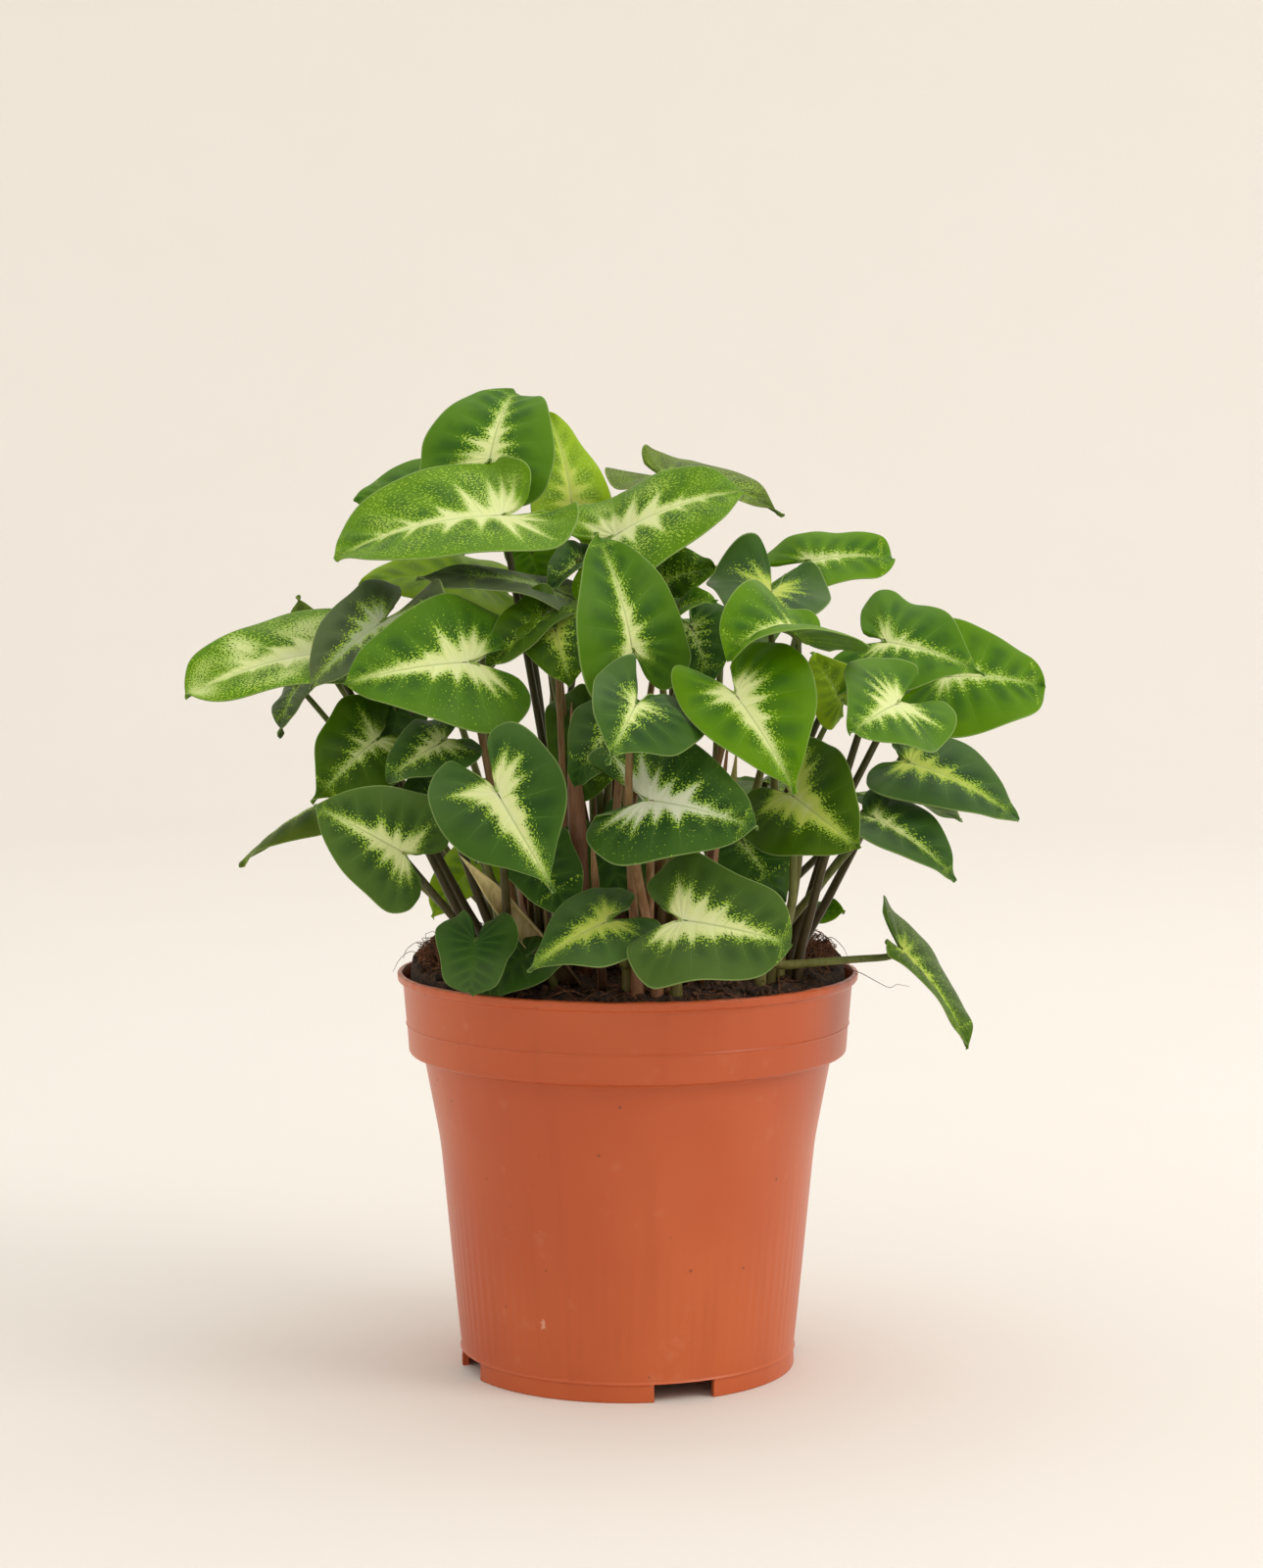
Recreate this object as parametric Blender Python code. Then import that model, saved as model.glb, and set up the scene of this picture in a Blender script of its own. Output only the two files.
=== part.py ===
"""Arrowhead plant in a plastic nursery pot.

Metres, +Z up, origin on the floor at the pot's axis, +Y away from the photo's camera.
The tables below are in whole millimetres and degrees.
"""

import math
from dataclasses import dataclass

import bpy
import bmesh
import numpy as np
from mathutils import Vector
from mathutils.bvhtree import BVHTree

MM = 0.001
SEGMENTS = 36

for item in list(bpy.data.objects):
    bpy.data.objects.remove(item, do_unlink=True)


def add_object(name, points, faces):
    mesh = bpy.data.meshes.new(name)
    mesh.from_pydata([tuple(p) for p in np.asarray(points, float) * MM], [], faces)
    mesh.validate()
    body = bpy.data.objects.new(name, mesh)
    bpy.context.collection.objects.link(body)
    return body


def faces_out(mesh):
    work = bmesh.new()
    work.from_mesh(mesh)
    bmesh.ops.remove_doubles(work, verts=work.verts, dist=1e-6)
    bmesh.ops.recalc_face_normals(work, faces=work.faces)
    bmesh.ops.triangulate(work, faces=work.faces)
    work.to_mesh(mesh)
    work.free()


def boolean(body, other, kind):
    step = body.modifiers.new(kind.title(), "BOOLEAN")
    step.operation = kind
    step.solver = "MANIFOLD"
    step.object = other
    graph = bpy.context.evaluated_depsgraph_get()
    result = bpy.data.meshes.new_from_object(body.evaluated_get(graph))
    body.modifiers.clear()
    body.data = result
    faces_out(body.data)
    bpy.data.objects.remove(other, do_unlink=True)


def lathe(name, profile, segments=SEGMENTS):
    """Turn a closed profile; its first and last points lie on the axis."""
    points, rings = [], []
    for radius, height in profile:
        if radius == 0:
            rings.append([len(points)] * segments)
            points.append((0, 0, height))
            continue
        rings.append(list(range(len(points), len(points) + segments)))
        for k in range(segments):
            turn = 2 * math.pi * k / segments
            points.append((radius * math.cos(turn), radius * math.sin(turn), height))
    faces = []
    for low, high in zip(rings, rings[1:]):
        for k in range(segments):
            n = (k + 1) % segments
            corners = []
            for corner in (low[k], low[n], high[n], high[k]):
                if corner not in corners:
                    corners.append(corner)
            faces.append(corners)
    body = add_object(name, points, faces)
    faces_out(body.data)
    return body


def box(size, centre, turn_deg):
    """A box turned about Z, size and centre in mm; centre is given before the turn."""
    turn = math.radians(turn_deg)
    points = []
    for sx in (-1, 1):
        for sy in (-1, 1):
            for sz in (-1, 1):
                x = centre[0] + sx * size[0] / 2
                y = centre[1] + sy * size[1] / 2
                z = centre[2] + sz * size[2] / 2
                points.append((x * math.cos(turn) - y * math.sin(turn),
                               x * math.sin(turn) + y * math.cos(turn), z))
    faces = [(0, 1, 3, 2), (4, 6, 7, 5), (0, 4, 5, 1), (2, 3, 7, 6), (0, 2, 6, 4), (1, 5, 7, 3)]
    body = add_object("cutter", points, faces)
    faces_out(body.data)
    return body


# Pot: thin moulded shell with a stepped collar, a raised floor and a notched foot ring.
pot = lathe("pot", [
    (0, 4.9), (41.9, 4.9), (41.9, 0), (43.6, 0), (43.4, 4.8), (48.9, 59.4), (53.1, 81.6),
    (57.0, 82.6), (58.4, 100.6), (60.0, 101.2), (60.0, 103.2), (57.1, 103.2), (55.7, 84.3),
    (51.8, 83.1), (47.5, 59.6), (42.2, 6.4), (0, 6.4),
])
NOTCH_FIRST_DEG = -70.6
for quarter in range(4):
    angle = NOTCH_FIRST_DEG + 90 * quarter
    boolean(pot, box((8, 16, 9.4), (43, 0, 0), angle), "DIFFERENCE")
    boolean(pot, box((9, 9, 8), (33, 0, 5.6), angle), "DIFFERENCE")


# Soil: coarse coir heaped behind and lower in front, with a plain hole for each stalk.
def ground(x, y):
    radius = math.hypot(x, y)
    rear = 1 / (1 + math.exp(-(y + 25) / 10))
    lump = math.sin(x * 0.19 + 1.3) * math.cos(y * 0.16 + 0.4) + 0.6 * math.sin(x * 0.09 - y * 0.13)
    return (103.5 + 4 * rear - (4 - 3 * rear) * (radius / 56) ** 5
            + 0.6 * lump * max(0.0, 1 - (radius / 57) ** 4))


SOIL_WALL = [(41.8, 6.8), (47.1, 59.6), (51.2, 83.3), (56.0, 98.6)]
SOIL_TOP = [52, 42, 27]


def make_soil():
    points, rings = [(0, 0, 6.8)], []
    levels = SOIL_WALL + [(r, None) for r in SOIL_TOP]
    for radius, height in levels:
        rings.append(range(len(points), len(points) + SEGMENTS))
        for k in range(SEGMENTS):
            turn = 2 * math.pi * k / SEGMENTS
            x, y = radius * math.cos(turn), radius * math.sin(turn)
            points.append((x, y, ground(x, y) if height is None else height))
    faces = []
    for low, high in zip(rings, rings[1:]):
        for k in range(SEGMENTS):
            n = (k + 1) % SEGMENTS
            faces.append((low[k], low[n], high[n], high[k]))
    points.append((0, 0, ground(0, 0)))
    for k in range(SEGMENTS):
        n = (k + 1) % SEGMENTS
        faces.append((0, rings[0][n], rings[0][k]))
        faces.append((len(points) - 1, rings[-1][k], rings[-1][n]))
    body = add_object("soil", points, faces)
    faces_out(body.data)
    return body


# Leaves: an arrow-shaped blade on a stalk, one solid each, placed from the photo.
@dataclass(frozen=True)
class Leaf:
    name: str
    crown: str
    joint: tuple
    tip: tuple
    face: tuple
    width: float = 0.54
    lobes: tuple = (0.5, 0.5)
    fold: tuple = (10, 10)
    roll: float = 22
    curl: float = 30
    lift: tuple = (0, 0)
    twist: float = 0
    wave: float = 0.5
    point: float = 0.5
    gap: float = 0.03
    spread: float = 0.05
    halves: tuple = (1.0, 1.0)
    bow: tuple = (0, 0)


CROWNS = {
    "centre": (-10, -12),
    "front": (6, -40),
    "left": (-26, -28),
    "right": (36, -20),
    "back_left": (-24, 22),
    "back_right": (20, 24),
    "rim": (40, -38),
}

LEAVES = [
    Leaf("top_round", "centre", (-36, 14, 236), (-30, 32, 254), (-1, -7, 7),
         width=0.58, lobes=(0.45, 0.45), curl=50, point=0.3),
    Leaf("top_left", "centre", (-32, -10, 221), (-74, -18, 210), (-2, -4, 9),
         width=0.58, lobes=(0.42, 0.36), lift=(60, 90), fold=(6, 16), roll=10),
    Leaf("top_behind", "back_left", (-15, 28, 224), (-22, 38, 249), (5, -7, 4), width=0.5),
    Leaf("top_right", "centre", (-3, -14, 216), (29, -20, 227), (-3, -5, 8),
         width=0.56, lobes=(0.45, 0.4), lift=(60, 0), halves=(1, 0.88)),
    Leaf("top_right_dark", "back_right", (11, 25, 231), (41, 12, 221), (3, -4, 9),
         width=0.52, lobes=(0.42, 0.42), lift=(90, 60), fold=(14, 14)),
    Leaf("upper_left_back", "back_left", (-47, 34, 228), (-73, 28, 225), (-1, -6, 9)),
    Leaf("far_left", "left", (-76, -10, 187), (-111, -26, 176), (-3, -6, 8),
         width=0.46, fold=(16, 16), point=0),
    Leaf("left_grey", "left", (-62, -25, 194), (-79, -33, 178), (-4, -8, 4),
         width=0.5, lobes=(0.5, 0.5), fold=(20, 20), spread=0.15, lift=(90, 0)),
    Leaf("left_big", "left", (-39, -41, 185), (-69, -51, 180), (-1, -9, 5), width=0.6, lobes=(0.44, 0.52)),
    Leaf("left_shaded", "centre", (-19, -17, 202), (-53, -25, 205), (0, -4, 9),
         width=0.45, halves=(0.8, 0.5)),
    Leaf("left_yellow", "back_left", (-41, 12, 204), (-70, 6, 203), (-1, -5, 9)),
    Leaf("centre_dark", "centre", (-18, -32, 193), (-14, -38, 179), (-1, -9, 4),
         width=0.6, lobes=(0.4, 0.4)),
    Leaf("centre_tall", "centre", (1, -45, 189), (-8, -40, 217), (5, -8, 2),
         fold=(15, 15), lobes=(0.45, 0.4)),
    Leaf("front_small", "front", (2, -68, 176), (-5, -83, 163), (3, -7, 6),
         width=0.6, lobes=(0.65, 0.75), halves=(1.3, 0.85), lift=(0, 30)),
    Leaf("right_front", "front", (26, -60, 178), (40, -70, 155), (2, -9, 3),
         width=0.6, lobes=(0.42, 0.5), fold=(14, 14), halves=(1.12, 0.78)),
    Leaf("right_folded", "right", (42, -46, 191), (24, -61, 186), (-1, -5, 8),
         width=0.66, fold=(32, 32), curl=100, lobes=(0.5, 0.6), lift=(90, 120)),
    Leaf("right_upper", "right", (37, -8, 202), (32, -28, 190), (1, -6, 8),
         width=0.6, lobes=(0.6, 0.62), lift=(60, 80)),
    Leaf("upper_right_back", "back_right", (50, 25, 211), (70, 25, 212), (0, -6, 8), width=0.58, point=0),
    Leaf("right_dark", "right", (66, -15, 190), (90, -22, 182), (2, -8, 6),
         width=0.66, lobes=(0.45, 0.45), spread=0.2, point=0.9),
    Leaf("right_square", "right", (66, -46, 175), (53, -66, 169), (5, -6, 7),
         width=0.62, lobes=(0.72, 0.72), spread=0, lift=(50, 50)),
    Leaf("far_right", "right", (83, 9, 179), (110, 16, 176), (0, -8, 6), width=0.58),
    Leaf("right_low", "right", (72, -13, 158), (99, -21, 144), (3, -6, 8), width=0.52, lobes=(0.35, 0.35)),
    Leaf("right_lower", "right", (62, -26, 145), (82, -33, 130), (3, -5, 8),
         width=0.5, lobes=(0.25, 0.25), fold=(18, 18)),
    Leaf("rim_right", "rim", (68, -30, 112), (85, -35, 88), (8, -4, 4)),
    Leaf("low_small_right", "right", (47, 10, 116), (57, 5, 118), (1, -6, 7)),
    Leaf("right_shaded", "right", (40, -48, 153), (56, -61, 141), (-4, -8, 4), width=0.66),
    Leaf("front_centre", "front", (5, -65, 153), (31, -75, 147), (1, -9, 5),
         width=0.58, lobes=(0.7, 0.46), gap=0.1),
    Leaf("front_behind", "front", (-2, -50, 170), (-10, -56, 156), (-2, -8, 5)),
    Leaf("front_left", "left", (-31, -68, 155), (-17, -76, 132), (-1, -9, 3),
         width=0.51, lobes=(0.62, 0.55)),
    Leaf("left_middle", "left", (-46, -40, 165), (-59, -48, 156), (-2, -8, 5)),
    Leaf("left_inner", "left", (-45, -31, 154), (-57, -39, 145), (-2, -8, 5), lobes=(0.35, 0.35)),
    Leaf("left_outer", "left", (-63, -30, 165), (-78, -40, 150), (-1, -9, 3), width=0.58),
    Leaf("left_low", "left", (-55, -50, 139), (-76, -56, 151), (-1, -9, 3), width=0.6, lobes=(0.45, 0.42)),
    Leaf("left_rolled", "left", (-78, 5, 147), (-101, 0, 130), (-5, -1, 8),
         width=0.4, fold=(0, 0), roll=70),
    Leaf("left_hanging", "back_left", (-87, 15, 176), (-91, 8, 163), (-6, -6, 4), width=0.42, point=1),
    Leaf("left_peek", "back_left", (-85, 25, 188), (-88, 32, 200), (-3, -7, 5), width=0.4, point=1),
    Leaf("soil_heart", "left", (-37, -52, 117), (-38, -57, 105), (-1, -9, 3),
         width=0.6, lobes=(0.38, 0.38)),
    Leaf("low_centre", "front", (-5, -60, 123), (-24, -68, 112), (-3, -8, 6),
         width=0.56, point=0.9, halves=(1, 0.85)),
    Leaf("low_right", "front", (13, -72, 125), (39, -79, 120), (1, -9, 4),
         width=0.62, lobes=(0.42, 0.42), point=0.1),
    Leaf("under_front", "left", (-23, -42, 136), (-13, -48, 122), (1, -9, 3),
         width=0.6, lobes=(0.35, 0.35), halves=(1, 0.75)),
    Leaf("low_yellow", "left", (-40, 5, 130), (-51, 0, 117), (-2, -6, 7)),
    Leaf("low_shaded", "right", (29, -30, 139), (39, -36, 124), (1, -8, 6)),
    Leaf("mid_speckled", "centre", (9, -5, 204), (23, -10, 208), (0, -8, 6), width=0.5),
    Leaf("mid_dark", "centre", (16, -25, 193), (21, -30, 179), (0, -8, 5)),
    Leaf("rear_top", "back_right", (6, 42, 208), (8, 66, 198), (0, 4, 9), curl=50),
    Leaf("rear_left_high", "back_left", (-52, 46, 186), (-70, 70, 174), (-3, 6, 7)),
    Leaf("rear_mid_high", "back_left", (-14, 56, 190), (-16, 83, 178), (-1, 6, 7), width=0.6),
    Leaf("rear_right_high", "back_right", (26, 52, 192), (36, 80, 182), (2, 6, 8)),
    Leaf("rear_right", "back_right", (56, 38, 178), (80, 58, 168), (4, 5, 7)),
    Leaf("rear_left", "back_left", (-60, 50, 154), (-82, 66, 142), (-5, 5, 6), width=0.58),
    Leaf("rear_left_low", "back_left", (-34, 56, 148), (-44, 81, 134), (-3, 7, 6)),
    Leaf("rear_mid", "back_right", (2, 60, 154), (4, 85, 138), (0, 8, 5), width=0.58),
    Leaf("rear_right_low", "back_right", (38, 54, 148), (52, 78, 134), (3, 7, 6)),
    Leaf("rear_far_right", "back_right", (66, 30, 146), (92, 42, 134), (5, 4, 7)),
    Leaf("rear_low_left", "back_left", (-28, 58, 121), (-38, 78, 107), (-3, 7, 6),
         lobes=(0.35, 0.35)),
    Leaf("rear_low_right", "back_right", (24, 60, 120), (32, 80, 106), (2, 8, 5),
         lobes=(0.35, 0.35)),
]

BLADE = 0.7
SLOT = 4.8
SLOT_RADIUS = 2.25
FOOT = 94

# Outline of half a blade from the tip to the joint, as (along, across, rib), all over length.
OUTLINE = [
    (1.00, 0.00, 1.00), (0.91, 0.25, 0.78), (0.73, 0.55, 0.50), (0.40, 0.86, 0.18),
    (0.05, 1.00, 0.02), (-0.45, 0.93, 0), (-0.85, 0.68, 0), (-1.00, 0.38, 0),
    (-0.72, 0.13, 0), (-0.30, 0.04, 0), (0.00, 0.00, 0),
]
STEPS = (0, 1, 2, 3, 4, 5, 6.5, 8, 10)


def unit(v):
    v = np.asarray(v, float)
    return v / np.linalg.norm(v)


def outline_point(leaf, side, s):
    """Margin point and rib origin at s in 0..10 for side 1 (left) or -1 (right)."""
    lobe = leaf.lobes[0 if side > 0 else 1]
    rows = []
    for n, (along, across, rib) in enumerate(OUTLINE):
        if along < 0:
            along *= lobe
        across *= leaf.width
        if n in (1, 2):
            along += (0.06 if n == 1 else 0.08) * (0.5 - leaf.point)
            across += leaf.width * 0.30 * (0.5 - leaf.point)
        if n in (5, 6, 7):
            across += leaf.spread * (0.6 if n == 5 else 1.0)
        if n in (8, 9):
            across += leaf.gap * (1.0 if n == 8 else 0.6)
        rows.append((along, across * leaf.halves[0 if side > 0 else 1], rib))
    i = min(int(s), len(rows) - 2)
    f = s - i
    p = [np.array(rows[min(max(k, 0), len(rows) - 1)]) for k in (i - 1, i, i + 1, i + 2)]
    spot = 0.5 * (2 * p[1] + (p[2] - p[0]) * f + (2 * p[0] - 5 * p[1] + 4 * p[2] - p[3]) * f * f
                  + (3 * p[1] - p[0] - 3 * p[2] + p[3]) * f ** 3)
    rib = p[1][2] * (1 - f) + p[2][2] * f
    return spot[0], spot[1], rib


class Surface:
    """Curved middle surface of a blade."""

    def __init__(self, leaf):
        self.leaf = leaf
        self.joint = np.array(leaf.joint, float)
        reach = np.array(leaf.tip, float) - self.joint
        self.ahead = unit(reach)
        face = unit(leaf.face)
        self.up = unit(face - self.ahead * face.dot(self.ahead))
        self.left = np.cross(self.up, self.ahead)
        self.curl = math.radians(leaf.curl) + 1e-4
        self.length = np.linalg.norm(reach) * (self.curl / 2) / math.sin(self.curl / 2)

    def at(self, along, across, rim=0.0, s=0.0):
        leaf = self.leaf
        side = 1 if across >= 0 else -1
        rate = self.curl
        if along < 0:
            lobe = leaf.lobes[0 if side > 0 else 1]
            rate -= math.radians(leaf.lift[0 if side > 0 else 1]) / lobe
            rate += 1e-4
        start = self.curl / 2
        slope = start - rate * along
        x = (math.sin(start) - math.sin(slope)) / rate
        z = (math.cos(slope) - math.cos(start)) / rate
        forward = self.ahead * math.cos(slope) + self.up * math.sin(slope)
        normal = self.up * math.cos(slope) - self.ahead * math.sin(slope)
        turn = math.radians(leaf.twist) * along
        left = self.left * math.cos(turn) + normal * math.sin(turn)
        normal = normal * math.cos(turn) - self.left * math.sin(turn)
        reach = abs(across)
        bend = math.radians(leaf.roll) / leaf.width + 1e-4
        rise = math.radians(leaf.fold[0 if side > 0 else 1])
        flat = (math.sin(rise) - math.sin(rise - bend * reach)) / bend
        lift = (math.cos(rise - bend * reach) - math.cos(rise)) / bend
        spot = self.joint + self.length * (self.ahead * x + self.up * z + left * side * flat
                                           + normal * lift)
        wave = leaf.wave * math.sin(s * 1.5 + sum(leaf.tip) + side) * rim * rim
        return spot + normal * wave, forward, normal


def blade_sheet(surface, steps=STEPS, bands=2):
    """Middle surface as points, normals and triangles, shared ribs and no doubles."""
    points, index, faces = [], {}, []
    last = len(steps) - 1

    def vertex(side, i, j):
        along, across, rib = outline_point(surface.leaf, side, steps[i])
        if i == 0:
            key, spot = "tip", (1.0, 0.0, 0.0)
        elif i == last or (j == 0 and rib == 0):
            key, spot = "joint", (0.0, 0.0, 0.0)
        elif j == 0:
            key, spot = ("rib", round(rib, 4)), (rib, 0.0, 0.0)
        else:
            t = j / bands
            key = (side, i, j)
            spot = (rib + (along - rib) * t, across * t * side, t)
        if key not in index:
            index[key] = len(points)
            points.append(surface.at(*spot, s=steps[i])[0])
        return index[key]

    for side in (1, -1):
        for i in range(last):
            for j in range(bands):
                quad = []
                for a, b in ((i, j), (i, j + 1), (i + 1, j + 1), (i + 1, j)):
                    corner = vertex(side, a, b)
                    if corner not in quad:
                        quad.append(corner)
                if side < 0:
                    quad.reverse()
                if len(quad) == 4:
                    faces += [(quad[0], quad[1], quad[2]), (quad[0], quad[2], quad[3])]
                elif len(quad) == 3:
                    faces.append(tuple(quad))
    points = np.array(points)
    faces = np.array(faces)
    cross = np.cross(points[faces[:, 1]] - points[faces[:, 0]],
                     points[faces[:, 2]] - points[faces[:, 0]])
    normals = np.zeros_like(points)
    for k in range(3):
        np.add.at(normals, faces[:, k], cross)
    normals /= np.linalg.norm(normals, axis=1)[:, None]
    return points, normals, faces


def plate(points, normals, faces):
    """Close a sheet into a plate of even thickness."""
    count = len(points)
    solid = np.vstack([points + normals * BLADE / 2, points - normals * BLADE / 2])
    skins = [tuple(f) for f in faces] + [tuple(f[::-1] + count) for f in faces]
    edges = {}
    for face in faces:
        for a, b in zip(face, np.roll(face, -1)):
            edges[(a, b)] = True
    for a, b in edges:
        if (b, a) not in edges:
            skins += [(b, a, a + count), (b, a + count, b + count)]
    return solid, [tuple(int(k) for k in f) for f in skins]


def tube(path, radii, sides=4):
    """Straight-sided tube along a path, closed at both ends."""
    path = np.asarray(path, float)
    points, faces = [], []
    across = np.array((1.0, 0.0, 0.0))
    for k, spot in enumerate(path):
        heading = unit(unit(path[min(k + 1, len(path) - 1)] - spot + 1e-9)
                       + unit(spot - path[max(k - 1, 0)] + 1e-9)) if 0 < k < len(path) - 1 \
            else unit(path[min(k + 1, len(path) - 1)] - path[max(k - 1, 0)])
        across = unit(across - heading * across.dot(heading))
        over = np.cross(heading, across)
        for n in range(sides):
            turn = 2 * math.pi * n / sides
            points.append(spot + radii[k] * (across * math.cos(turn) + over * math.sin(turn)))
    for k in range(len(path) - 1):
        for n in range(sides):
            m = (n + 1) % sides
            a, b = k * sides, (k + 1) * sides
            faces += [(a + n, a + m, b + m), (a + n, b + m, b + n)]
    faces.append(tuple(range(sides))[::-1])
    faces.append(tuple(range(len(points) - sides, len(points))))
    return points, faces


# Stalks: each starts in its own slot of a hexagonal pattern and is bent clear of the rest.
def choose_slots(leaves):
    free = []
    for row in range(-12, 13):
        for column in range(-12, 13):
            x, y = SLOT * (column + 0.5 * (row % 2)), SLOT * 0.866 * row
            if math.hypot(x, y) < 50:
                free.append((x, y))
    slots = []
    for leaf in leaves:
        cx, cy = CROWNS[leaf.crown]
        out = np.array((leaf.joint[0] - cx, leaf.joint[1] - cy))
        reach = np.linalg.norm(out) + 1e-6
        want = np.array((cx, cy)) + out / reach * min(9, 1 + reach * 0.12)
        best = min(free, key=lambda s: math.dist(s, want))
        free.remove(best)
        slots.append(best)
    return slots


KNOTS = 6
SOIL_CLEAR = 108.5


def first_path(surface, slot, bow):
    start = np.array((slot[0], slot[1], SOIL_CLEAR))
    toward = surface.joint - start
    arrive = unit(unit(surface.up) * 0.7 + unit(toward) * 0.5)
    end = surface.joint - surface.up * 0.6 - arrive * 3.0
    span = np.linalg.norm(end - start)
    first = start + np.array((toward[0] * 0.08, toward[1] * 0.08, span * 0.34))
    second = end - arrive * span * 0.28
    path = [np.array((slot[0], slot[1], float(FOOT)))]
    for k in range(KNOTS):
        t = k / (KNOTS - 1)
        spot = (start * (1 - t) ** 3 + first * 3 * t * (1 - t) ** 2
                + second * 3 * t * t * (1 - t) + end * t ** 3)
        swing = math.sin(math.pi * t) ** 2
        path.append(spot + np.array((bow[0], bow[1], 0.0)) * swing)
    return np.array(path)


def crossings(path, trees, own):
    count = 0
    for a, b in zip(path[1:], path[2:]):
        step = b - a
        span = float(np.linalg.norm(step))
        for k, tree in enumerate(trees):
            if k != own and tree.ray_cast(Vector(a), Vector(step / span), span)[0] is not None:
                count += 1
    return count


def choose_paths(surfaces, slots, trees):
    paths = []
    for k, surface in enumerate(surfaces):
        options = [surface.leaf.bow]
        for size in (5, 10, 15, 22):
            for turn in range(8):
                options.append((surface.leaf.bow[0] + size * math.cos(turn * math.pi / 4),
                                surface.leaf.bow[1] + size * math.sin(turn * math.pi / 4)))
        best, least = None, 99
        for option in options:
            path = first_path(surface, slots[k], option)
            hits = crossings(path, trees, k)
            if hits < least:
                best, least = path, hits
            if hits == 0:
                break
        paths.append(best)
    return paths


def along_path(path, spacing=6):
    """Sample spots on a path with the two knots each lies between and their shares."""
    spots = []
    for k in range(1, len(path) - 1):
        for n in range(spacing):
            spots.append((k, n / spacing))
    return spots


def bend_clear(paths, trees, rounds=90, room=3.4, blade_room=2.2):
    """Push stalks apart and off the blades, keeping both ends where they are."""
    paths = [p.copy() for p in paths]
    table = [(leaf, k, f) for leaf, p in enumerate(paths) for k, f in along_path(p)]
    owner = np.array([t[0] for t in table])
    knot = np.array([t[1] for t in table])
    share = np.array([t[2] for t in table])
    for turn in range(rounds):
        stack = np.array(paths)
        spots = stack[owner, knot] * (1 - share)[:, None] + stack[owner, knot + 1] * share[:, None]
        push = np.zeros_like(spots)
        for n, spot in enumerate(spots):
            away = spot - spots
            far = np.linalg.norm(away, axis=1)
            near = (far < room) & (owner != owner[n])
            if near.any():
                away = away[near] / (far[near, None] + 1e-6)
                push[n] += (away * (room - far[near])[:, None]).sum(axis=0) * 0.4
            for k, tree in enumerate(trees):
                if k == owner[n]:
                    continue
                place, _, _, gap = tree.find_nearest(Vector(spot), blade_room)
                if place is not None and gap > 1e-6:
                    push[n] += (spot - np.array(place)) / gap * (blade_room - gap) * 0.6
        if not push.any():
            break
        move = np.zeros_like(stack)
        weight = np.zeros(stack.shape[:2]) + 1e-6
        busy = np.linalg.norm(push, axis=1) > 0
        for where, part in ((knot, 1 - share), (knot + 1, share)):
            np.add.at(move, (owner[busy], where[busy]), push[busy] * part[busy, None])
            np.add.at(weight, (owner[busy], where[busy]), part[busy])
        move /= np.maximum(weight, 0.5)[:, :, None]
        for leaf in range(len(paths)):
            for k in range(2, len(paths[leaf]) - 1):
                paths[leaf][k] += move[leaf, k]
            inner = paths[leaf][2:-1]
            inner += 0.10 * (paths[leaf][1:-2] + paths[leaf][3:] - 2 * inner)
    return paths


def make_leaf(leaf, surface, path):
    points, faces = plate(*blade_sheet(surface))
    body = add_object("leaf_" + leaf.name, points, faces)
    faces_out(body.data)
    under, _, normal = surface.at(0.0, 0.0)
    far, _, far_normal = surface.at(0.15, 0.0)
    thick = 1.0 if surface.length > 18 else 0.8
    whole = np.vstack([path, [under - normal * (thick * 0.9 - 0.15)],
                       [far - far_normal * (thick * 0.55 - 0.15)]])
    count = len(whole)
    radii = [1.35 - (1.35 - thick * 0.95) * k / (count - 2) for k in range(count - 1)]
    stalk = add_object("stalk", *tube(whole, radii + [thick * 0.55]))
    faces_out(stalk.data)
    boolean(body, stalk, "UNION")
    return body


surfaces = [Surface(leaf) for leaf in LEAVES]
sheets = [blade_sheet(surface) for surface in surfaces]
trees = [BVHTree.FromPolygons([tuple(p) for p in s[0]], [tuple(int(k) for k in f) for f in s[2]])
         for s in sheets]
slots = choose_slots(LEAVES)
paths = bend_clear(choose_paths(surfaces, slots, trees), trees)
for leaf, surface, path in zip(LEAVES, surfaces, paths):
    make_leaf(leaf, surface, path)

soil = make_soil()
hole_points, hole_faces = [], []
for x, y in slots:
    first = len(hole_points)
    for height in (FOOT - 1, 112):
        for n in range(4):
            turn = math.pi / 4 + math.pi / 2 * n
            hole_points.append((x + SLOT_RADIUS * math.cos(turn),
                                y + SLOT_RADIUS * math.sin(turn), height))
    for n in range(4):
        m = (n + 1) % 4
        hole_faces.append((first + n, first + m, first + 4 + m, first + 4 + n))
    hole_faces.append(tuple(range(first + 3, first - 1, -1)))
    hole_faces.append(tuple(range(first + 4, first + 8)))
holes = add_object("holes", hole_points, hole_faces)
faces_out(holes.data)
boolean(soil, holes, "DIFFERENCE")
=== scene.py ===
"""Looks of a potted arrowhead plant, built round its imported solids.

Sizes are in millimetres and angles in degrees, but the patterns of a finish are laid out in
metres. Colours are red, green and blue from 0 to 255. +Y points away from the camera.
"""

import math
from dataclasses import dataclass

import bmesh
import bpy
import numpy as np
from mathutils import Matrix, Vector
from mathutils import noise


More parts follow.
